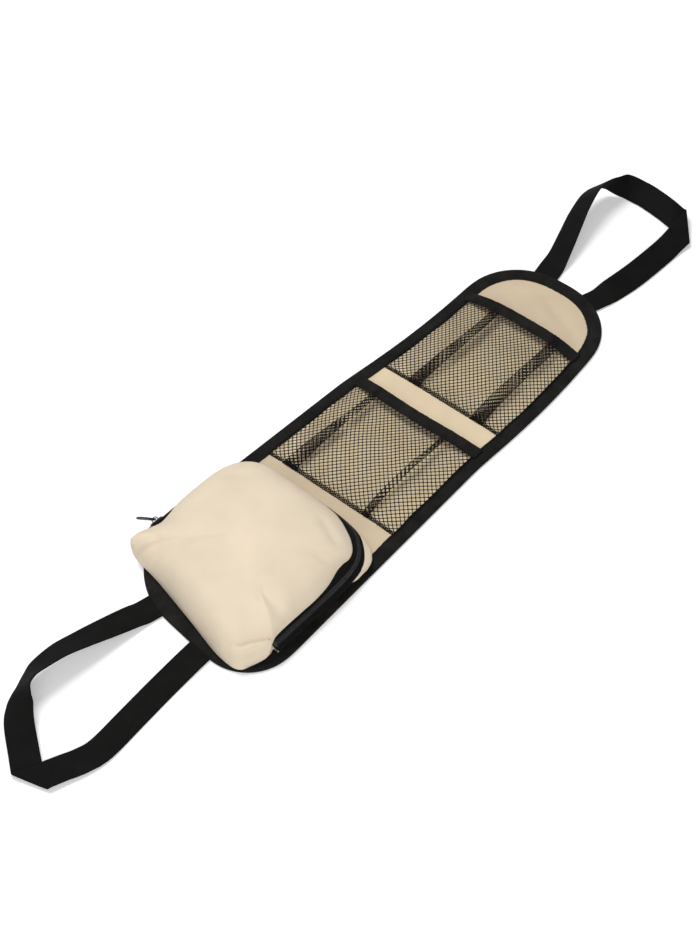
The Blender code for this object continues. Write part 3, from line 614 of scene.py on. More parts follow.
def build_panel():
    """The cloth panel, from one long side to the other, with its ends under the tape."""
    outline, _ = panel_outline(2400)
    inset = outline + inward(outline) * 0.0018
    count, first, last = len(inset), inset[:, 0].argmin(), inset[:, 0].argmax()
    near = np.roll(inset, -first, 0)[: (last - first) % count + 1]
    far = np.roll(inset, -last, 0)[: (first - last) % count + 1][::-1]
    low_x, high_x = inset[first, 0] + 0.1 * MM, inset[last, 0] - 0.1 * MM
    stations = low_x + (high_x - low_x) * (0.5 - 0.5 * np.cos(np.linspace(0, math.pi, 300)))
    across = np.sin(np.linspace(-math.pi / 2, math.pi / 2, 90)) * 0.5 + 0.5
    top = []
    for x in stations:
        low = np.interp(x, np.maximum.accumulate(near[:, 0]), near[:, 1])
        high = np.interp(x, np.maximum.accumulate(far[:, 0]), far[:, 1])
        y = low + (high - low) * across
        top.append(np.stack([np.full_like(y, x), y], 1))
    plan = np.array(top).reshape(-1, 2)
    edge = distance_in(outline, plan[:, 0], plan[:, 1])
    tucked = 1 - smooth_step(edge, 0.0095, 0.0121)
    z = panel_top(plan[:, 0], plan[:, 1], edge) * (1 - tucked) + 2.15 * MM * tucked
    under = 0.10 * MM * ripple(plan[:, 0], plan[:, 1], 0.05, 13) * (1 - tucked)
    under = 0.23 * MM + 0.67 * MM * tucked + under
    shape = (len(stations), len(across), 3)
    top = np.column_stack([plan, z]).reshape(shape)
    bottom = np.column_stack([plan, under]).reshape(shape)
    uvs = plan.reshape(len(stations), len(across), 2)
    ring = np.concatenate([top, bottom[:, ::-1]], 1)
    ring_uv = np.concatenate([uvs, uvs[:, ::-1] + (0, BACK_UV), uvs[:, :1]], 1)
    sheet = grid(ring, ring_uv, wrap_cols=True, caps=True)
    panel = make_object("panel", [sheet], PANEL_SHADED_CLOTH, ["back_panel"])


# Mesh pockets

# A pleat: its place from -1 to 1 across the pocket, and its depth at the seam and higher up
UPPER_PLEATS = ((-0.62, 0.0145, 0.0110), (0.44, 0.0140, 0.0095))
LOWER_PLEATS = ((-0.55, 0.0085, 0.0055), (0.62, 0.0165, 0.0080))
POCKETS = {
    "upper": dict(seam=0.0740, mouth=0.2050, sag=0.0, pleats=UPPER_PLEATS),
    "lower": dict(seam=-0.0780, mouth=0.0495, sag=0.0065, pleats=LOWER_PLEATS),
}
NET_WIDTH = 0.128
NET_PITCH = (2.75 * MM, 2.40 * MM)


def pocket_base(pocket, along, across):
    """A point of a pocket's wall without its pleats, with across from -1 to 1."""
    sag = pocket["sag"] * (1 - across ** 2)
    x = pocket["seam"] + (pocket["mouth"] - pocket["seam"] - sag) * along
    low = inner_edge(x, -1) - 1.5 * MM
    high = inner_edge(x, 1) + 1.5 * MM
    y = low + (high - low) * (across + 1) / 2
    hemmed = 1 - TAPE_WIDTH / (pocket["mouth"] - pocket["seam"])
    climb = np.minimum(1.0, along / hemmed)
    arch = 1 - np.abs(across) ** 3
    belly = np.sin(math.pi * np.maximum(climb, 1e-9) * 0.6) ** 0.8
    swell = 9.0 * MM * belly * (1 - climb ** 2) + 6.5 * MM * climb ** 2
    roll = 1.8 * MM * smooth_step(climb, 0.0, 0.018)
    uneven = 0.9 * MM * ripple(x, y, 0.045, int(1000 * abs(pocket["seam"]))) * belly * (1 - climb ** 3)
    z = PANEL_TOP + 0.75 * MM + 0.9 * MM * climb + (swell + roll + uneven) * arch
    return np.stack([x, y, z], -1)


def net_point(pocket, t, s):
    """A point of the net: t along it and s across it, both from 0 to 1 in the cloth.
    A pleat is a Z fold, so across it the cloth runs on, back and on again."""
    t, s = np.broadcast_arrays(np.asarray(t, float), np.asarray(s, float))
    gather = 0.62
    reach = 0.055
    along = (t - gather * reach * (1 - np.exp(-t / reach))) / (1 - gather * reach)
    low = pocket_base(pocket, along, np.full_like(t, -1.0))[..., 1]
    high = pocket_base(pocket, along, np.full_like(t, 1.0))[..., 1]
    width = high - low
    marks, places, lifts = [np.zeros_like(t)], [low], [np.zeros_like(t)]
    cursor = low
    m = np.zeros_like(t)
    for k, (where, deep, shallow) in enumerate(pocket["pleats"]):
        middle = low + width * (where + 1) / 2 + 1.2 * MM * np.sin(along * 5 + k)
        depth = deep + (shallow - deep) * np.minimum(1, along * 1.4)
        left, right = middle - depth / 2, middle + depth / 2
        for y, lift in ((left - 2.5 * MM, 0.0), (left, 0.9), (right, 1.35), (middle, 0.8),
                        (left, 0.25), (middle, 0.05), (right + 2 * MM, 0.0)):
            m = m + np.abs(y - cursor)
            marks.append(m)
            places.append(y)
            lifts.append(np.full_like(t, lift * MM))
            cursor = y
    m = m + np.abs(high - cursor)
    marks.append(m)
    places.append(high)
    lifts.append(np.zeros_like(t))
    y = np.zeros_like(t)
    lift = np.zeros_like(t)
    offsets = np.array([-1.2, -0.6, 0.0, 0.6, 1.2]) * MM
    for offset in offsets:
        at = np.clip(s * m + offset * np.minimum(1, np.minimum(s, 1 - s) * 60), 0, m)
        for k in range(len(marks) - 1):
            inside = (at >= marks[k]) & (at <= marks[k + 1])
            share = (at - marks[k]) / np.maximum(marks[k + 1] - marks[k], 1e-9)
            piece_y = places[k] + (places[k + 1] - places[k]) * share
            piece_z = lifts[k] + (lifts[k + 1] - lifts[k]) * share
            if k == 0:
                now_y, now_z = np.where(inside, piece_y, 0), np.where(inside, piece_z, 0)
                done = inside.copy()
            else:
                fresh = inside & ~done
                now_y, now_z = np.where(fresh, piece_y, now_y), np.where(fresh, piece_z, now_z)
                done |= inside
        y = y + now_y / len(offsets)
        lift = lift + now_z / len(offsets)
    across = np.clip((y - low) / width * 2 - 1, -1, 1)
    point = pocket_base(pocket, along, across)
    ruffle = 0.55 * MM * np.exp(-along / 0.07) * np.sin(y / 0.0062 * math.pi + 2 * np.sin(y / 0.019))
    point[..., 2] += lift + ruffle * (1 - np.abs(across) ** 4)
    return point


def net_normal(pocket, t, s):
    step = 0.003
    a = net_point(pocket, np.clip(t + step, 0, 1), s) - net_point(pocket, np.clip(t - step, 0, 1), s)
    b = net_point(pocket, t, np.clip(s + step, 0, 1)) - net_point(pocket, t, np.clip(s - step, 0, 1))
    normal = unit(np.cross(a, b))
    return np.where(normal[..., 2:] < 0, -normal, normal)


def tube(line, normals, wide, thick, sides=6):
    """A flattened thread along a line, closed at both ends."""
    along = unit(np.gradient(line, axis=0))
    side = unit(np.cross(along, normals))
    up = np.cross(side, along)
    turn = (np.arange(sides) + 0.5) * math.tau / sides
    wide = np.reshape(wide, (-1, 1, 1)) if np.ndim(wide) else wide
    points = (line[:, None] + wide * np.cos(turn)[None, :, None] * side[:, None]
              + thick * np.sin(turn)[None, :, None] * up[:, None])
    reach = distances(line)
    u, v = np.meshgrid(reach, np.linspace(0, 2.2 * MM, sides + 1), indexing="ij")
    return grid(points, np.stack([u, v], -1), wrap_cols=True, caps=True)


def build_net(key, node):
    """A knitted net: two families of slanting yarns, thicker where they knot."""
    pocket = POCKETS[key]
    length = pocket["mouth"] - pocket["seam"]
    width = NET_WIDTH + 2 * sum(p[1] for p in pocket["pleats"])
    columns = int(round(length / NET_PITCH[0] / 2)) * 2
    rows = int(round(width / NET_PITCH[1] / 2)) * 2
    chunks = []
    hem = 2
    for family, top in ((1, columns), (-1, columns), (1, hem), (-1, hem)):
        lowest = -rows if family == 1 else 0
        for c in range(lowest, columns + rows + 1):
            if c % 2 == (0 if top > hem else 1):
                continue
            first = max(0, c) if family == 1 else max(0, c - rows)
            last = min(top, c + rows) if family == 1 else min(top, c)
            if last - first < 1:
                continue
            i = np.arange(first * 2, last * 2 + 1) / 2
            j = (i - c) if family == 1 else (c - i)
            knot = np.abs(np.round(i) - i) < 0.1
            t, s = i / columns, j / rows
            line = net_point(pocket, t, s)
            normals = net_normal(pocket, t, s)
            over = np.where(np.round(i).astype(int) % 2 == 0, 1.0, -1.0) * family
            under = 0.4 * MM if top == hem else 0.0
            line = line + normals * (np.where(knot, over * 0.12 * MM, 0.0) - under)[:, None]
            wide = np.where(knot, 0.49 * MM, 0.345 * MM) * (1 + 0.25 * np.exp(-t / 0.05))
            chunks.append(tube(line, normals, wide, 0.25 * MM))
    net = make_object(f"{key}_net", chunks, NET, [node])


def build_mouth(key, node):
    """Tape folded over the net's top edge, with a row of stitches."""
    pocket = POCKETS[key]
    count = 220
    across = np.linspace(-1.02, 1.02, count)
    w = TAPE_WIDTH
    profile = [
        (0.0, -0.2), (0.12, -0.75), (0.8, -0.95), (2.4, -1.0), (6.0, -0.95), (11.5, -0.85), (12.5, -0.6),
        (12.5, 0.75), (11.8, 1.05), (11.0, 0.92), (10.3, 0.7), (9.6, 0.95),
        (7.0, 1.2), (4.0, 1.3), (1.8, 1.22), (0.6, 0.95), (0.1, 0.45),
    ]
    rows, line = [], []
    for a in across:
        c = np.clip(a, -1, 1)
        edge = pocket_base(pocket, np.array(1.0), np.array(c)) + (0.6 * MM, 0, 0)
        edge[1] += (a - c) * 0.065
        lift = 0.12 * MM * math.sin(a * 31) + 0.08 * MM * math.sin(a * 77 + 1)
        wander = 0.25 * MM * math.sin(a * 9 + 0.6) + 0.12 * MM * math.sin(a * 23)
        rows.append([edge + (-inset * MM + wander * (inset > 8), 0, z * MM + lift) for inset, z in profile])
        line.append(edge + (-(w - SEAM_IN) + wander, 0, 0.95 * MM + lift))
    points = np.array(rows)
    ring = np.array(profile) * MM
    around = distances(np.vstack([ring, ring[:1]]))
    s = np.linspace(0, resample(np.array(line), 3)[1], count)
    uvs = np.stack(np.meshgrid(s, around, indexing="ij"), -1)
    tape = grid(points, uvs, wrap_cols=True, caps=True)
    make_object(f"{key}_mouth_tape", [tape], TAPE, [node])
    ups = np.tile([0.0, 0.0, 1.0], (count, 1))
    stitches = stitch_run(np.array(line)[6:-6], ups[6:-6])
    make_object(f"{key}_mouth_stitches", stitches, THREAD)


# Zipped pocket

MIDDLE = np.array([-0.186, 0.0])

# The front's edge: x, y, z and how upright the cloth stands there (0.5 upright, 1 sloping)
FACE_EDGE = (
    (-0.2685, -0.0695, 0.0043, 0.50), (-0.2610, -0.0735, 0.0046, 0.50), (-0.2470, -0.0800, 0.0090, 0.52),
    (-0.2405, -0.0805, 0.0225, 0.62), (-0.2320, -0.0797, 0.0260, 0.72), (-0.2060, -0.0797, 0.0262, 0.75),
    (-0.1880, -0.0800, 0.0262, 0.75), (-0.1720, -0.0786, 0.0262, 0.76), (-0.1620, -0.0763, 0.0263, 0.80),
    (-0.1520, -0.0734, 0.0265, 0.82), (-0.1440, -0.0729, 0.0268, 0.82), (-0.1370, -0.0733, 0.0268, 0.82),
    (-0.1290, -0.0700, 0.0268, 0.84), (-0.1215, -0.0625, 0.0266, 0.88), (-0.1160, -0.0540, 0.0264, 0.92),
    (-0.1090, -0.0390, 0.0262, 0.96), (-0.1058, -0.0250, 0.0262, 1.00), (-0.1040, 0.0100, 0.0260, 1.00),
    (-0.1036, 0.0400, 0.0260, 1.00), (-0.1055, 0.0545, 0.0260, 1.00), (-0.1110, 0.0655, 0.0260, 0.96),
    (-0.1205, 0.0733, 0.0260, 0.94), (-0.1350, 0.0782, 0.0260, 0.96), (-0.1510, 0.0797, 0.0260, 1.00),
    (-0.1820, 0.0796, 0.0259, 1.05), (-0.1980, 0.0772, 0.0255, 1.10), (-0.2100, 0.0757, 0.0252, 1.12),
    (-0.2200, 0.0785, 0.0252, 1.00), (-0.2320, 0.0828, 0.0250, 0.86), (-0.2408, 0.0826, 0.0236, 0.72),
    (-0.2446, 0.0765, 0.0125, 0.56), (-0.2440, 0.0700, 0.0055, 0.50), (-0.2482, 0.0430, 0.0043, 0.50),
    (-0.2598, -0.0048, 0.0043, 0.50), (-0.2690, -0.0400, 0.0043, 0.50), (-0.2712, -0.0600, 0.0043, 0.50),
)


def bell_at(loop, spot, reach):
    """1 at the loop's place nearest a spot, falling off along the loop."""
    k = np.linalg.norm(loop[:, :2] - spot, axis=1).argmin()
    step = np.linalg.norm(loop[1, :2] - loop[0, :2])
    gap = np.abs((np.arange(len(loop)) - k + len(loop) / 2) % len(loop) - len(loop) / 2) * step
    return np.exp(-(gap / reach) ** 2)


def zip_loop(side_out, head_out, foot_out, height, pull):
    """One edge of the zip strip.  The slack near-head corner is drawn in."""
    plan = pocket_plan(side_out, head_out, foot_out, 0.020)
    plan = plan + inward(plan) * (pull * bell_at(plan, (-0.108, -0.074), 0.030))[:, None]
    plan, _ = resample(soften(plan, 4), RIM, closed=True)
    return np.hstack([plan, np.full((RIM, 1), height)])


def closed_curve(points, steps):
    data = np.array(points, float)
    before, after, beyond = np.roll(data, 1, 0), np.roll(data, -1, 0), np.roll(data, -2, 0)
    curve = []
    for t in np.arange(steps) / steps:
        square = 2 * before - 5 * data + 4 * after - beyond
        cube = 3 * data - before - 3 * after + beyond
        curve.append(0.5 * (2 * data + (after - before) * t + square * t ** 2 + cube * t ** 3))
    return np.array(curve).transpose(1, 0, 2).reshape(-1, data.shape[1])


def by_angle(curve, like):
    """The curve's points that lie in the same directions from the middle as another loop's."""
    turn = np.arctan2(curve[:, 1] - MIDDLE[1], curve[:, 0] - MIDDLE[0])
    wanted = np.arctan2(like[:, 1] - MIDDLE[1], like[:, 0] - MIDDLE[0])
    order = np.argsort(turn)
    return np.stack([np.interp(wanted, turn[order], curve[order, k], period=math.tau)
                     for k in range(curve.shape[1])], 1)


LOW = zip_loop(SIDE_FLARE, HEAD_FLARE, FOOT_FLARE, ZIP_LOW_Z, 8.0 * MM)
HIGH = zip_loop(SIDE_FLARE - SEAM_INSET, HEAD_FLARE - SEAM_INSET, FOOT_FLARE - FOOT_INSET,
                ZIP_HIGH_Z, 5.5 * MM)
BASE = np.hstack([pocket_plan(0.0, 0.0, 0.0, 0.036), np.full((RIM, 1), BASE_Z)])
EDGE_CURVE = closed_curve(FACE_EDGE, 24)
EDGE = by_angle(EDGE_CURVE, LOW)


def place_on(loop, x, side):
    for k in range(len(loop)):
        a, b = loop[k], loop[(k + 1) % len(loop)]
        if a[1] * side > 0 and b[1] * side > 0 and (a[0] - x) * (b[0] - x) <= 0 and a[0] != b[0]:
            return k + (x - a[0]) / (b[0] - a[0])
    raise ValueError("the loop doesn't pass this place")


ZIP_NEAR = place_on(LOW, ZIP_END_X, -1)
ZIP_FAR = place_on(LOW, ZIP_START_X, 1)


def on_loop(loop, place):
    place = np.asarray(place, float)
    k = np.floor(place).astype(int)
    share = (place - k)[..., None]
    return loop[k % len(loop)] * (1 - share) + loop[(k + 1) % len(loop)] * share


def strip_frame(place):
    """Lower edge, upper edge, outward direction and run of the zip strip."""
    low, high = on_loop(LOW, place), on_loop(HIGH, place)
    along = unit(on_loop(LOW, np.asarray(place) + 2.5) - on_loop(LOW, np.asarray(place) - 2.5))
    outward = unit(np.cross(along, high - low))
    return low, high, outward, along


def strip_points(place, share, depth):
    low, high, outward, _ = strip_frame(place)
    share = np.reshape(share, (-1, 1)) if np.ndim(share) else share
    depth = np.reshape(depth, (-1, 1)) if np.ndim(depth) else depth
    return low + (high - low) * share + outward * depth


def zip_places(step):
    fine = np.linspace(ZIP_NEAR, ZIP_FAR, 2000)
    line = on_loop(LOW, fine)
    reach = distances(line)
    at = np.linspace(0, reach[-1], int(round(reach[-1] / step)) + 1)
    return np.interp(at, reach, fine), at


def zipped_share():
    """1 where the gusset ends at the zip and 0 where it runs up to the face."""
    k = np.arange(RIM)
    return smooth_step(k, ZIP_NEAR - 5, ZIP_NEAR - 1) * (1 - smooth_step(k, ZIP_FAR + 1, ZIP_FAR + 5))


def build_gusset():
    """The side wall.  At the foot the front's cloth comes down over it."""
    zipped = zipped_share()[:, None]
    toward = unit(np.column_stack([MIDDLE - EDGE[:, :2], np.zeros(RIM)]))
    tucked = EDGE[:, :3] + toward * 4.0 * MM
    tucked[:, 2] = 0.016
    top = LOW * zipped + tucked * (1 - zipped)
    foot = tucked * (1, 1, 0) + (0, 0, BASE_Z)
    base = BASE * zipped + foot * (1 - zipped)
    corner = bell_at(LOW, (-0.117, -0.070), 0.026)
    s = np.arange(RIM) / RIM
    out = -np.hstack([inward(LOW[:, :2]), np.zeros((RIM, 1))])
    outer, heights = [], np.linspace(0, 1, 15)
    for h in heights:
        middle = base + (top - base) * h ** 0.9
        bow = math.sin(math.pi * h)
        crumple = 0.45 * MM * ripple_line(s, 0.035, 21, 1.0) + 0.2 * MM * ripple_line(s, 0.012, 22, 1.0)
        crumple = crumple * (0.4 + 0.6 * math.sin(2.4 * h + 0.4))
        middle = middle + out * ((1.0 * MM + 8.5 * MM * corner + crumple) * bow * zipped[:, 0])[:, None]
        middle[:, 2] -= 0.6 * MM * bow * zipped[:, 0]
        outer.append(middle)
    inner = [ring - out * 0.8 * MM for ring in outer[::-1]]
    outer[0] = outer[0] - (0, 0, 0.35 * MM)
    rings = np.array(outer + inner)
    length = resample(LOW, 3, closed=True)[1]
    reach = np.r_[0, np.cumsum(np.full(len(rings), 1.4 * MM))]
    uvs = np.stack(np.meshgrid(reach, np.linspace(0, length, RIM + 1), indexing="ij"), -1)
    wall = grid(rings, uvs, wrap_rows=True, wrap_cols=True)
    gusset = make_object("gusset", [wall], GUSSET_SHADED_CLOTH, ["pocket_gusset"])


def dent(x, y, centre, run, wide, long):
    """A soft groove: 1 on its line, falling off across it and at its ends."""
    run = np.array(run) / np.linalg.norm(run)
    a = (x - centre[0]) * run[0] + (y - centre[1]) * run[1]
    b = -(x - centre[0]) * run[1] + (y - centre[1]) * run[0]
    return np.exp(-(b / wide) ** 2 - (a / long) ** 4)


# The front's soft dents and one ridge: height in mm, centre, direction, half width and length
DENTS = (
    (-3.1, (-0.2190, -0.0620), (0.16, 1.0), 0.0060, 0.022),
    (1.1, (-0.2290, -0.0600), (0.10, 1.0), 0.0060, 0.020),
    (-1.7, (-0.1310, -0.0480), (0.42, 1.0), 0.0055, 0.019),
    (-1.3, (-0.1560, -0.0690), (-0.35, 1.0), 0.0040, 0.012),
    (-1.6, (-0.2265, 0.0690), (0.45, 0.85), 0.0042, 0.014),
    (-1.1, (-0.2380, 0.0560), (0.90, 0.45), 0.0045, 0.012),
    (-0.9, (-0.1350, 0.0560), (0.6, -0.8), 0.0060, 0.018),
)


def face_height(x, y, z, share, s):
    """How far the full pocket's front stands off its plain dome."""
    lift = 0.8 * MM * ripple(x, y, 0.095, 31) + 0.22 * MM * ripple(x, y, 0.035, 32)
    for height, centre, run, wide, long in DENTS:
        lift = lift + height * MM * dent(x, y, centre, run, wide, long)
    edge = smooth_step(share, 0.80, 0.99)
    pucker = 0.20 * MM * ripple_line(s, 0.030, 33, 1.0) + 0.09 * MM * ripple_line(s, 0.010, 34, 1.0)
    lift = lift * (1 - 0.7 * edge) + pucker * edge
    flap = smooth_step(-y, 0.056, 0.066) * smooth_step(-x, 0.236, 0.246)
    crease = np.exp(-((z - 0.0245) / 0.0011) ** 2)
    puff = np.exp(-((z - 0.0165) / 0.0048) ** 2)
    return lift + flap * (0.9 * MM * puff - 1.3 * MM * crease)


FACE_TOP_Z = 0.0462
# Where the front's shoulder is softer, and by how much its power falls there
SOFT_CORNERS = (
    ((-0.2408, 0.0826), 3.0), ((-0.2650, -0.0720), 2.2), ((-0.1180, -0.0580), 1.2), ((-0.1150, 0.0700), 1.6),
)


def build_face():
    """The puffed front: rings from its middle out to its edge, then back inside."""
    turns = np.radians(np.r_[np.linspace(0, 24, 17), np.linspace(26.5, 89.0, 44)])
    rim, upright = EDGE[:, :3], EDGE[:, 3]
    middle = np.array([*MIDDLE, 0.0])
    s = np.arange(RIM) / RIM
    shares = np.cos(turns) ** 0.50
    rings = []
    power = 5.2 - sum(drop * bell_at(EDGE, spot, 0.030) for spot, drop in SOFT_CORNERS)
    for share in shares:
        ring = middle + (rim - middle) * share
        ring[:, 2] = rim[:, 2] + (FACE_TOP_Z - rim[:, 2]) * (1 - share ** power) ** upright
        rings.append(ring)
    dome = np.array(rings)
    d_row = np.gradient(dome, axis=0)
    d_col = np.roll(dome, -1, 1) - np.roll(dome, 1, 1)
    normal = unit(np.cross(d_col, d_row))
    lift = np.array([face_height(r[:, 0], r[:, 1], r[:, 2], share, s) for r, share in zip(dome, shares)])
    hold = smooth_step(np.arange(len(turns)), 0, 5)[:, None]
    outer = dome + normal * (lift * hold)[..., None]
    away = unit((rim - middle) * (1, 1, 0))
    seam = outer[:1] + (away * 0.35 * MM)[None] - (0, 0, 0.25 * MM)
    lip = outer[:1] - (away * 1.6 * MM)[None] - (0, 0, 0.45 * MM)
    inner = outer - normal * 0.9 * MM
    inner = inner[1:][::-1]
    rings = np.concatenate([inner, lip, seam, outer[1:]], 0)
    arc = distances(dome[::-1, 0])[::-1]
    flat = unit((rim - middle)[:, :2])[None] * arc[:, None, None]
    uv = np.concatenate([flat[1:][::-1], flat[:1], flat[:1], flat[1:]], 0)
    uv = np.concatenate([uv, uv[:, :1]], 1)
    shell = grid(rings, uv, wrap_cols=True, caps=True)
    face = make_object("pocket_front", [shell], FACE_CLOTH, ["pocket_face"])


def under_edge(places, inset, drop):
    """Points a little inside the front's edge and below it."""
    rim = on_loop(EDGE[:, :3], places)
    toward = unit(np.column_stack([MIDDLE - rim[:, :2], np.zeros(len(rim))]))
    return rim + toward * inset - (0, 0, drop)


def build_zip():
    places, reach = zip_places(1.6 * MM)
    ruck = 0.35 * MM * ripple_line(reach, 0.020, 41) + 0.15 * MM * ripple_line(reach, 0.008, 42)
    for name, node, shares in (
        ("zip_tape_lower", "zipper_tape_back", (-0.03, 0.02, 0.18, 0.33, 0.40)),
        ("zip_tape_upper", "zipper_tape_front", (0.60, 0.67, 0.82, 0.98, 1.02)),
    ):
        rows, uvs = [], []
        sides = [(share, 0.0) for share in shares] + [(share, -0.55 * MM) for share in shares[::-1]]
        for share, depth in sides:
            wave = ruck * math.sin(math.pi * min(1, max(0, share)))
            rows.append(strip_points(places, share, depth + wave))
            if share > 1:
                rows[-1] = under_edge(places, 2.0 * MM, 0.8 * MM - depth)
            uvs.append(np.stack([reach, np.full_like(reach, share * STRIP_WIDTH)], 1))
        uvs.append(uvs[0])
        points, uvs = np.array(rows).transpose(1, 0, 2), np.array(uvs).transpose(1, 0, 2)
        tape = grid(points, uvs, wrap_cols=True, caps=True)
        make_object(name, [tape], ZIP_TAPE, [node])
    stitches = []
    for share in (0.06, 0.94):
        line = strip_points(places, share, 0.12 * MM + ruck * math.sin(math.pi * share))
        stitches += stitch_run(line[3:-3], strip_frame(places)[2][3:-3], 2.5 * MM)
    make_object("zip_stitches", stitches, THREAD)
    build_teeth()


def build_teeth():
    """Coil teeth: each is a bent loop that reaches over the middle from its own tape."""
    pitch = 1.45 * MM
    places, reach = zip_places(pitch / 2)
    places, reach = places[5:-5], reach[5:-5]
    slit_end = SLIDER.x + SLIDER_TRAVEL + 0.0125
    coils = ((-1, "zip_coil_lower", "zipper_teeth_back"), (1, "zip_coil_upper", "zipper_teeth_front"))
    for side, name, node in coils:
        chunks = []
        for k in range(0 if side < 0 else 1, len(places), 2):
            place = places[k]
            low, high, outward, along = strip_frame(place)
            up = unit(high - low)
            centre = low + (high - low) * 0.5
            apart = centre[1] > 0 and centre[0] < slit_end
            tip = 0.85 if apart else -0.75
            path = [(2.55, -0.75), (2.6, 0.1), (1.7, 0.72), (tip + 0.35, 0.74), (tip, 0.1), (tip + 0.4, -0.5)]
            line = np.array([centre + up * side * a * MM + outward * b * MM for a, b in path])
            chunks.append(tube(line, np.tile(along, (len(line), 1)), 0.36 * MM, 0.36 * MM, 5))
        low, high, outward, along = strip_frame(places)
        line = low + (high - low) * 0.5 + unit(high - low) * side * 2.1 * MM + outward * 0.15 * MM
        chunks.append(tube(line, outward, 0.35 * MM, 0.3 * MM))
        make_object(name, chunks, TEETH, [node])


METAL_CREASE = 50


def block(name, outline_rings, body="zip_slider", replaces=(), width=0.25 * MM):
    """A metal piece from rings of equal count, its edges rounded over."""
    bm = bmesh.new()
    rows = [[bm.verts.new(p) for p in ring] for ring in outline_rings]
    count = len(rows[0])
    for a, b in zip(rows, rows[1:]):
        for k in range(count):
            n = (k + 1) % count
            bm.faces.new((a[k], a[n], b[n], b[k]))
    bm.faces.new(rows[0][::-1])
    bm.faces.new(rows[-1])
    bmesh.ops.recalc_face_normals(bm, faces=bm.faces[:])
    sharp = [e for e in bm.edges if len(e.link_faces) == 2 and e.calc_face_angle(0) > 0.5]
    bmesh.ops.bevel(bm, geom=sharp, offset=width, segments=3, profile=0.6, affect="EDGES", clamp_overlap=True)
    mesh = bpy.data.meshes.new(name)
    bm.to_mesh(mesh)
    bm.free()
    mesh.uv_layers.new(name="UVMap")
    place_mesh(name, mesh, METAL, body, replaces, METAL_CREASE)


def build_stops():
    for name, node, place, way in (
        ("bottom_stop", "zipper_bottom_stop", ZIP_NEAR, 1), ("top_stop", "zipper_top_stop", ZIP_FAR, -1),
    ):
        low, high, outward, along = strip_frame(place)
        up = unit(high - low)
        centre = (low + high) / 2 + along * way * 1.2 * MM
        rings = []
        for depth, grow in ((-1.3, 0.85), (-0.4, 1.0), (0.75, 1.0), (1.15, 0.7)):
            half_run, half_wide = along * MM * grow, up * 2.6 * MM * grow
            level = centre + outward * depth * MM
            corners = ((-1, -1), (1, -1), (1, 1), (-1, 1))
            rings.append([level + half_run * a + half_wide * b for a, b in corners])
        block(name, rings, "organizer", [node], 0.2 * MM)


def build_slider():
    """Rounded shield plates, lips over the tapes, a post and a raised bail."""
    turn = Matrix.Translation(SLIDER) @ Matrix.Rotation(SLIDER_TILT, 4, "X")

    def at(x, y, z):
        return turn @ Vector((x * MM, y * MM, z * MM))

    def shield(grow):
        spots = [(-5.75, 2.6), (-4.6, 3.9), (-2.2, 4.4), (1.5, 4.1), (5.0, 3.75), (5.75, 3.1)]
        ring = [(x * (1 - (1 - grow) * 0.8), z * grow) for x, z in spots]
        return ring + [(x, -z) for x, z in ring[::-1]]

    front, back = 1.1, -1.7
    levels = ((front, 1.0), (front + 0.75, 1.0), (front + 1.2, 0.86))
    block("slider_top", [[at(x, y, z) for x, z in shield(g)] for y, g in levels], replaces=["zipper_slider"])
    levels = ((back - 1.15, 0.86), (back - 0.7, 1.0), (back, 1.0))
    block("slider_base", [[at(x, y, z) for x, z in shield(g)] for y, g in levels])
    for side in (-1, 1):
        for name, y0, y1 in (("front", 0.55, front + 0.3), ("back", back - 0.3, -1.15)):
            ring = [(-2.0, 3.1), (5.3, 3.1), (5.3, 3.75), (1.5, 4.1), (-2.0, 4.4)]
            rings = [[at(x, y, z * side) for x, z in ring] for y in (y0, y1)]
            block(f"slider_lip_{name}_{side + 2}", rings, width=0.12 * MM)
    post = [(-5.2, -0.4), (-3.0, -0.4), (-3.0, 0.4), (-5.2, 0.4)]
    rings = [[at(x, y, z) for x, z in post] for y in (back - 0.2, front + 0.2)]
    block("slider_post", rings, width=0.1 * MM)
    top = front + 1.2
    path = [(-3.0, top - 0.4), (-2.95, top + 0.9), (-2.5, top + 2.1), (-1.4, top + 2.75), (0, top + 2.9),
            (1.4, top + 2.75), (2.5, top + 2.1), (2.95, top + 0.9), (3.0, top - 0.4)]
    line = np.array([at(x, y, 0) for x, y in path])
    line, _ = resample(line, 40)
    axis = np.array(turn.to_3x3() @ Vector((0, 0, 1)))
    chunk = tube(line, np.tile(axis, (len(line), 1)), 0.42 * MM, 0.72 * MM, 12)
    make_object("slider_bail", [chunk], METAL, body="zip_slider", sharp=METAL_CREASE)


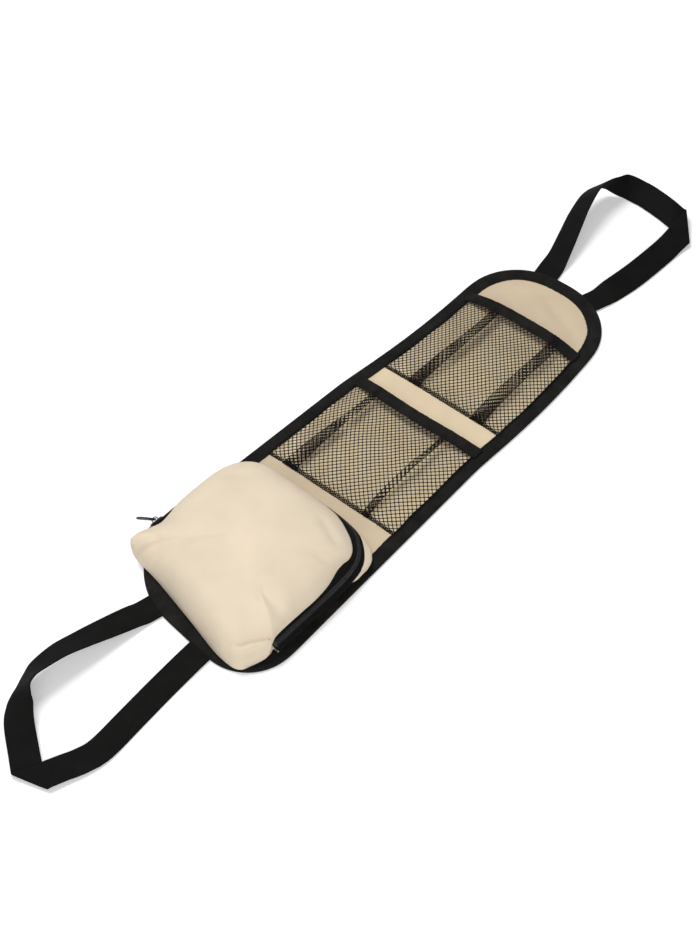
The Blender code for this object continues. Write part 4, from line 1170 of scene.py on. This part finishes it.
def build_pull():
    """A flat tab with a window for the bail and a hole near its end."""
    turn = (Matrix.Translation(PULL_PIVOT) @ Matrix.Rotation(SLIDER_TILT, 4, "X")
            @ Matrix.Rotation(-PULL_ANGLE, 4, "Z"))
    outline = [(0.5, 2.2), (0.2, 2.5), (-4.8, 2.7), (-8.0, 3.1), (-13.2, 3.1), (-15.2, 2.5), (-16.2, 1.2)]
    outline = outline + [(x, -z) for x, z in outline[::-1]]
    window = [(-0.55, 1.4), (-5.2, 1.5), (-5.2, -1.5), (-0.55, -1.4)]
    turns = np.linspace(0, math.tau, 20, endpoint=False)
    ring = [(-13.4 + 1.25 * math.cos(a), 1.25 * math.sin(a)) for a in turns]
    curve = bpy.data.curves.new("pull_shape", "CURVE")
    curve.dimensions = "2D"
    curve.fill_mode = "BOTH"
    curve.extrude = 0.34 * MM
    curve.bevel_depth = 0.2 * MM
    curve.bevel_resolution = 3
    for shape in (outline, window, ring):
        spline = curve.splines.new("POLY")
        spline.points.add(len(shape) - 1)
        for point, (x, z) in zip(spline.points, shape):
            point.co = (x * MM, z * MM, 0, 1)
        spline.use_cyclic_u = True
    temp = link_new("pull_temp", curve)
    bpy.context.view_layer.update()
    mesh = bpy.data.meshes.new_from_object(temp.evaluated_get(bpy.context.evaluated_depsgraph_get()))
    bpy.data.objects.remove(temp)
    bm = bmesh.new()
    bm.from_mesh(mesh)
    bmesh.ops.remove_doubles(bm, verts=bm.verts[:], dist=0.005 * MM)
    bmesh.ops.recalc_face_normals(bm, faces=bm.faces[:])
    bm.to_mesh(mesh)
    bm.free()
    mesh.transform(turn @ Matrix.Rotation(math.pi / 2, 4, "X"))
    if not mesh.uv_layers:
        mesh.uv_layers.new(name="UVMap")
    place_mesh("pull_tab", mesh, METAL, "zip_pull", ["zipper_pull"], 45)


# Webbing

def smooth_curve(points, steps):
    """Through (x, y, height, roll) stations: height and roll never overshoot."""
    data = np.array(points, float)
    data = np.vstack([2 * data[0] - data[1], data, 2 * data[-1] - data[-2]])
    rise, fall = data[1:-1] - data[:-2], data[2:] - data[1:-1]
    slope = (rise + fall) / 2
    product = rise * fall
    level = np.where(product > 0, 2 * product / np.where(np.abs(rise + fall) < 1e-12, 1, rise + fall), 0)
    slope[:, 2:] = level[:, 2:]
    inside = data[1:-1]
    curve = []
    for k in range(len(inside) - 1):
        for t in np.arange(steps) / steps:
            curve.append(
                (1 + 2 * t) * (1 - t) ** 2 * inside[k] + t * (1 - t) ** 2 * slope[k]
                + t * t * (3 - 2 * t) * inside[k + 1] + t * t * (t - 1) * slope[k + 1]
            )
    curve.append(inside[-1])
    return np.array(curve)


def rulings(route, steps=14):
    curve = smooth_curve(route, steps)
    along = unit(np.gradient(curve[:, :3], axis=0))
    side = unit(np.cross(along, (0, 0, 1)))
    up = np.cross(side, along)
    roll = np.radians(curve[:, 3:])
    across = (side * np.cos(roll) + up * np.sin(roll)) * WEBBING_WIDTH / 2
    return curve[:, :3] - across, curve[:, :3] + across


def fold_rulings(route_in, fold, route_out, tilt, steps=18):
    crease_middle = Vector((*fold, 0.0))
    heading_in = (crease_middle - Vector((*route_in[-1][:2], 0.0))).normalized()
    heading_out = (Vector((*route_out[0][:2], 0.0)) - crease_middle).normalized()
    crease = (heading_in + heading_out).normalized()
    outward = (heading_in - heading_out).normalized()
    half = WEBBING_WIDTH / 2 / abs(crease.cross(heading_in).z)
    slant = crease.dot(heading_in) / abs(crease.cross(heading_in).z)
    low, bend = LAID + 0.3 * MM, FOLD_OPENING / 2
    a, b = [], []
    for k in range(steps + 1):
        turn = math.pi * k / steps
        slide = bend * (turn - math.pi / 2) * slant
        middle = crease_middle + outward * bend * (math.sin(turn) - 1) + crease * slide
        middle.z = low + bend * (1 - math.cos(turn))
        a.append(middle + crease * half)
        b.append(middle - crease * half + Vector((0, 0, tilt)))
    return np.array(a), np.array(b)


def bridged(*runs):
    """The runs one after another, with straight bridges between them."""
    joined = [runs[0]]
    for before, after in zip(runs, runs[1:]):
        joined += [np.linspace(before[-1], after[0], 12)[1:-1], after]
    return np.vstack(joined)


def strap_ring():
    """The webbing's section: (share of its width, depth), thinner towards its edges."""
    half = WEBBING_THICKNESS / 2
    edge = half * 0.25
    upper = []
    for share in np.linspace(0.012, 0.988, 15):
        upper.append((share, half * (1 - 0.35 * (abs(share - 0.5) * 2) ** 12)))
    lower = [(share, -depth) for share, depth in upper[::-1]]
    return upper + [(1.0, edge), (1.0, -edge)] + lower + [(0.0, -edge), (0.0, edge)]


def build_loop(name, node, route_out, fold, route_back, tilt, turned=False):
    """A webbing loop.  turned: it comes to its fold with the other edge first."""
    out_a, out_b = rulings(route_out)
    fold_a, fold_b = fold_rulings(route_out, fold, route_back, tilt)
    if turned:
        fold_a, fold_b = fold_b, fold_a
    back_a, back_b = rulings(route_back)
    a = bridged(out_a, fold_a, back_a)
    b = bridged(out_b, fold_b, back_b)
    middle = (a + b) / 2
    along = unit(np.gradient(middle, axis=0))
    across = b - a
    normal = unit(np.cross(across, along))
    reach = distances(middle)
    ring = strap_ring()
    wobble = 0.25 * MM * ripple_line(reach, 0.05, 51) + 0.1 * MM * ripple_line(reach, 0.017, 52)
    points = np.stack([
        a + across * share + normal * depth + normal * (wobble * math.sin(math.pi * share) * 0.6)[:, None]
        for share, depth in ring
    ], 1)
    v = np.array([share * WEBBING_WIDTH for share, _ in ring + ring[:1]])
    u, v = np.meshgrid(reach, v, indexing="ij")
    strap = grid(points, np.stack([u, v], -1), wrap_cols=True, caps=True)
    make_object(name, [strap], WEBBING, [node])


# Floor, light and camera

FLOOR_HALF = 6
FLOOR_Z = -0.2 * MM
FLOOR_GREY = 0.93
FLOOR_GLOW = 0.26
WORLD_GLOW = 0.30
CAMERA_PLACE = (-0.87865, -0.7126, 1.2595)
CAMERA_TILT = math.radians(41.3)
CAMERA_TURN = math.radians(-49.3)


def build_stage():
    floor_mesh = bpy.data.meshes.new("floor")
    corners = ((-1, -1), (1, -1), (1, 1), (-1, 1))
    points = [(x * FLOOR_HALF, y * FLOOR_HALF, FLOOR_Z) for x, y in corners]
    floor_mesh.from_pydata(points, [], [(0, 1, 2, 3)])
    floor = link_new("floor", floor_mesh)
    material = bpy.data.materials.new("paper")
    material.use_nodes = True
    tree = material.node_tree
    shader = tree.nodes["Principled BSDF"]
    shader.inputs["Base Color"].default_value = (FLOOR_GREY, FLOOR_GREY, FLOOR_GREY, 1)
    shader.inputs["Roughness"].default_value = 0.9
    shader.inputs["Specular IOR Level"].default_value = 0.0
    glow = tree.nodes.new("ShaderNodeEmission")
    path = tree.nodes.new("ShaderNodeLightPath")
    scale = tree.nodes.new("ShaderNodeMath")
    scale.operation = "MULTIPLY"
    scale.inputs[1].default_value = FLOOR_GLOW
    tree.links.new(path.outputs["Is Camera Ray"], scale.inputs[0])
    tree.links.new(scale.outputs[0], glow.inputs["Strength"])
    add = tree.nodes.new("ShaderNodeAddShader")
    tree.links.new(shader.outputs[0], add.inputs[0])
    tree.links.new(glow.outputs[0], add.inputs[1])
    tree.links.new(add.outputs[0], tree.nodes["Material Output"].inputs["Surface"])
    floor_mesh.materials.append(material)

    world = bpy.data.worlds.new("studio")
    bpy.context.scene.world = world
    world.use_nodes = True
    background = world.node_tree.nodes["Background"]
    background.inputs[0].default_value = (1, 1, 1, 1)
    background.inputs[1].default_value = WORLD_GLOW
    add_lamp("key", (0.08, 0.84, 1.96), size=1.0, power=27.8)
    add_lamp("fill", (-1.5, -1.3, 1.2), size=2.2, power=23.0)

    camera_data = bpy.data.cameras.new("camera")
    camera = link_new("camera", camera_data)
    camera.location = CAMERA_PLACE
    camera.rotation_euler = (CAMERA_TILT, 0.0, CAMERA_TURN)
    camera_data.sensor_width = 36.0
    camera_data.lens = 71.96
    camera_data.clip_start = 0.05
    bpy.context.scene.camera = camera
    bpy.context.scene.view_settings.view_transform = "Standard"


def add_lamp(name, location, size, power):
    """A round lamp that looks at the middle of the floor."""
    lamp = bpy.data.lights.new(name, "AREA")
    lamp.shape = "DISK"
    lamp.size = size
    lamp.energy = power
    item = link_new(name, lamp)
    item.location = location
    item.rotation_euler = Vector(location).to_track_quat("Z", "Y").to_euler()


build_panel()
build_binding()
for key in ("upper", "lower"):
    build_net(key, f"{key}_mesh_pocket")
    build_mouth(key, f"{key}_mouth_binding")
build_gusset()
build_face()
build_zip()
build_stops()
build_slider()
build_pull()
build_loop("head_loop_webbing", "head_webbing_loop", HEAD_OUT, HEAD_FOLD, HEAD_BACK, 9.0 * MM)
build_loop("foot_loop_webbing", "foot_webbing_loop", FOOT_OUT, FOOT_FOLD, FOOT_BACK, 1.0 * MM, turned=True)
build_stage()
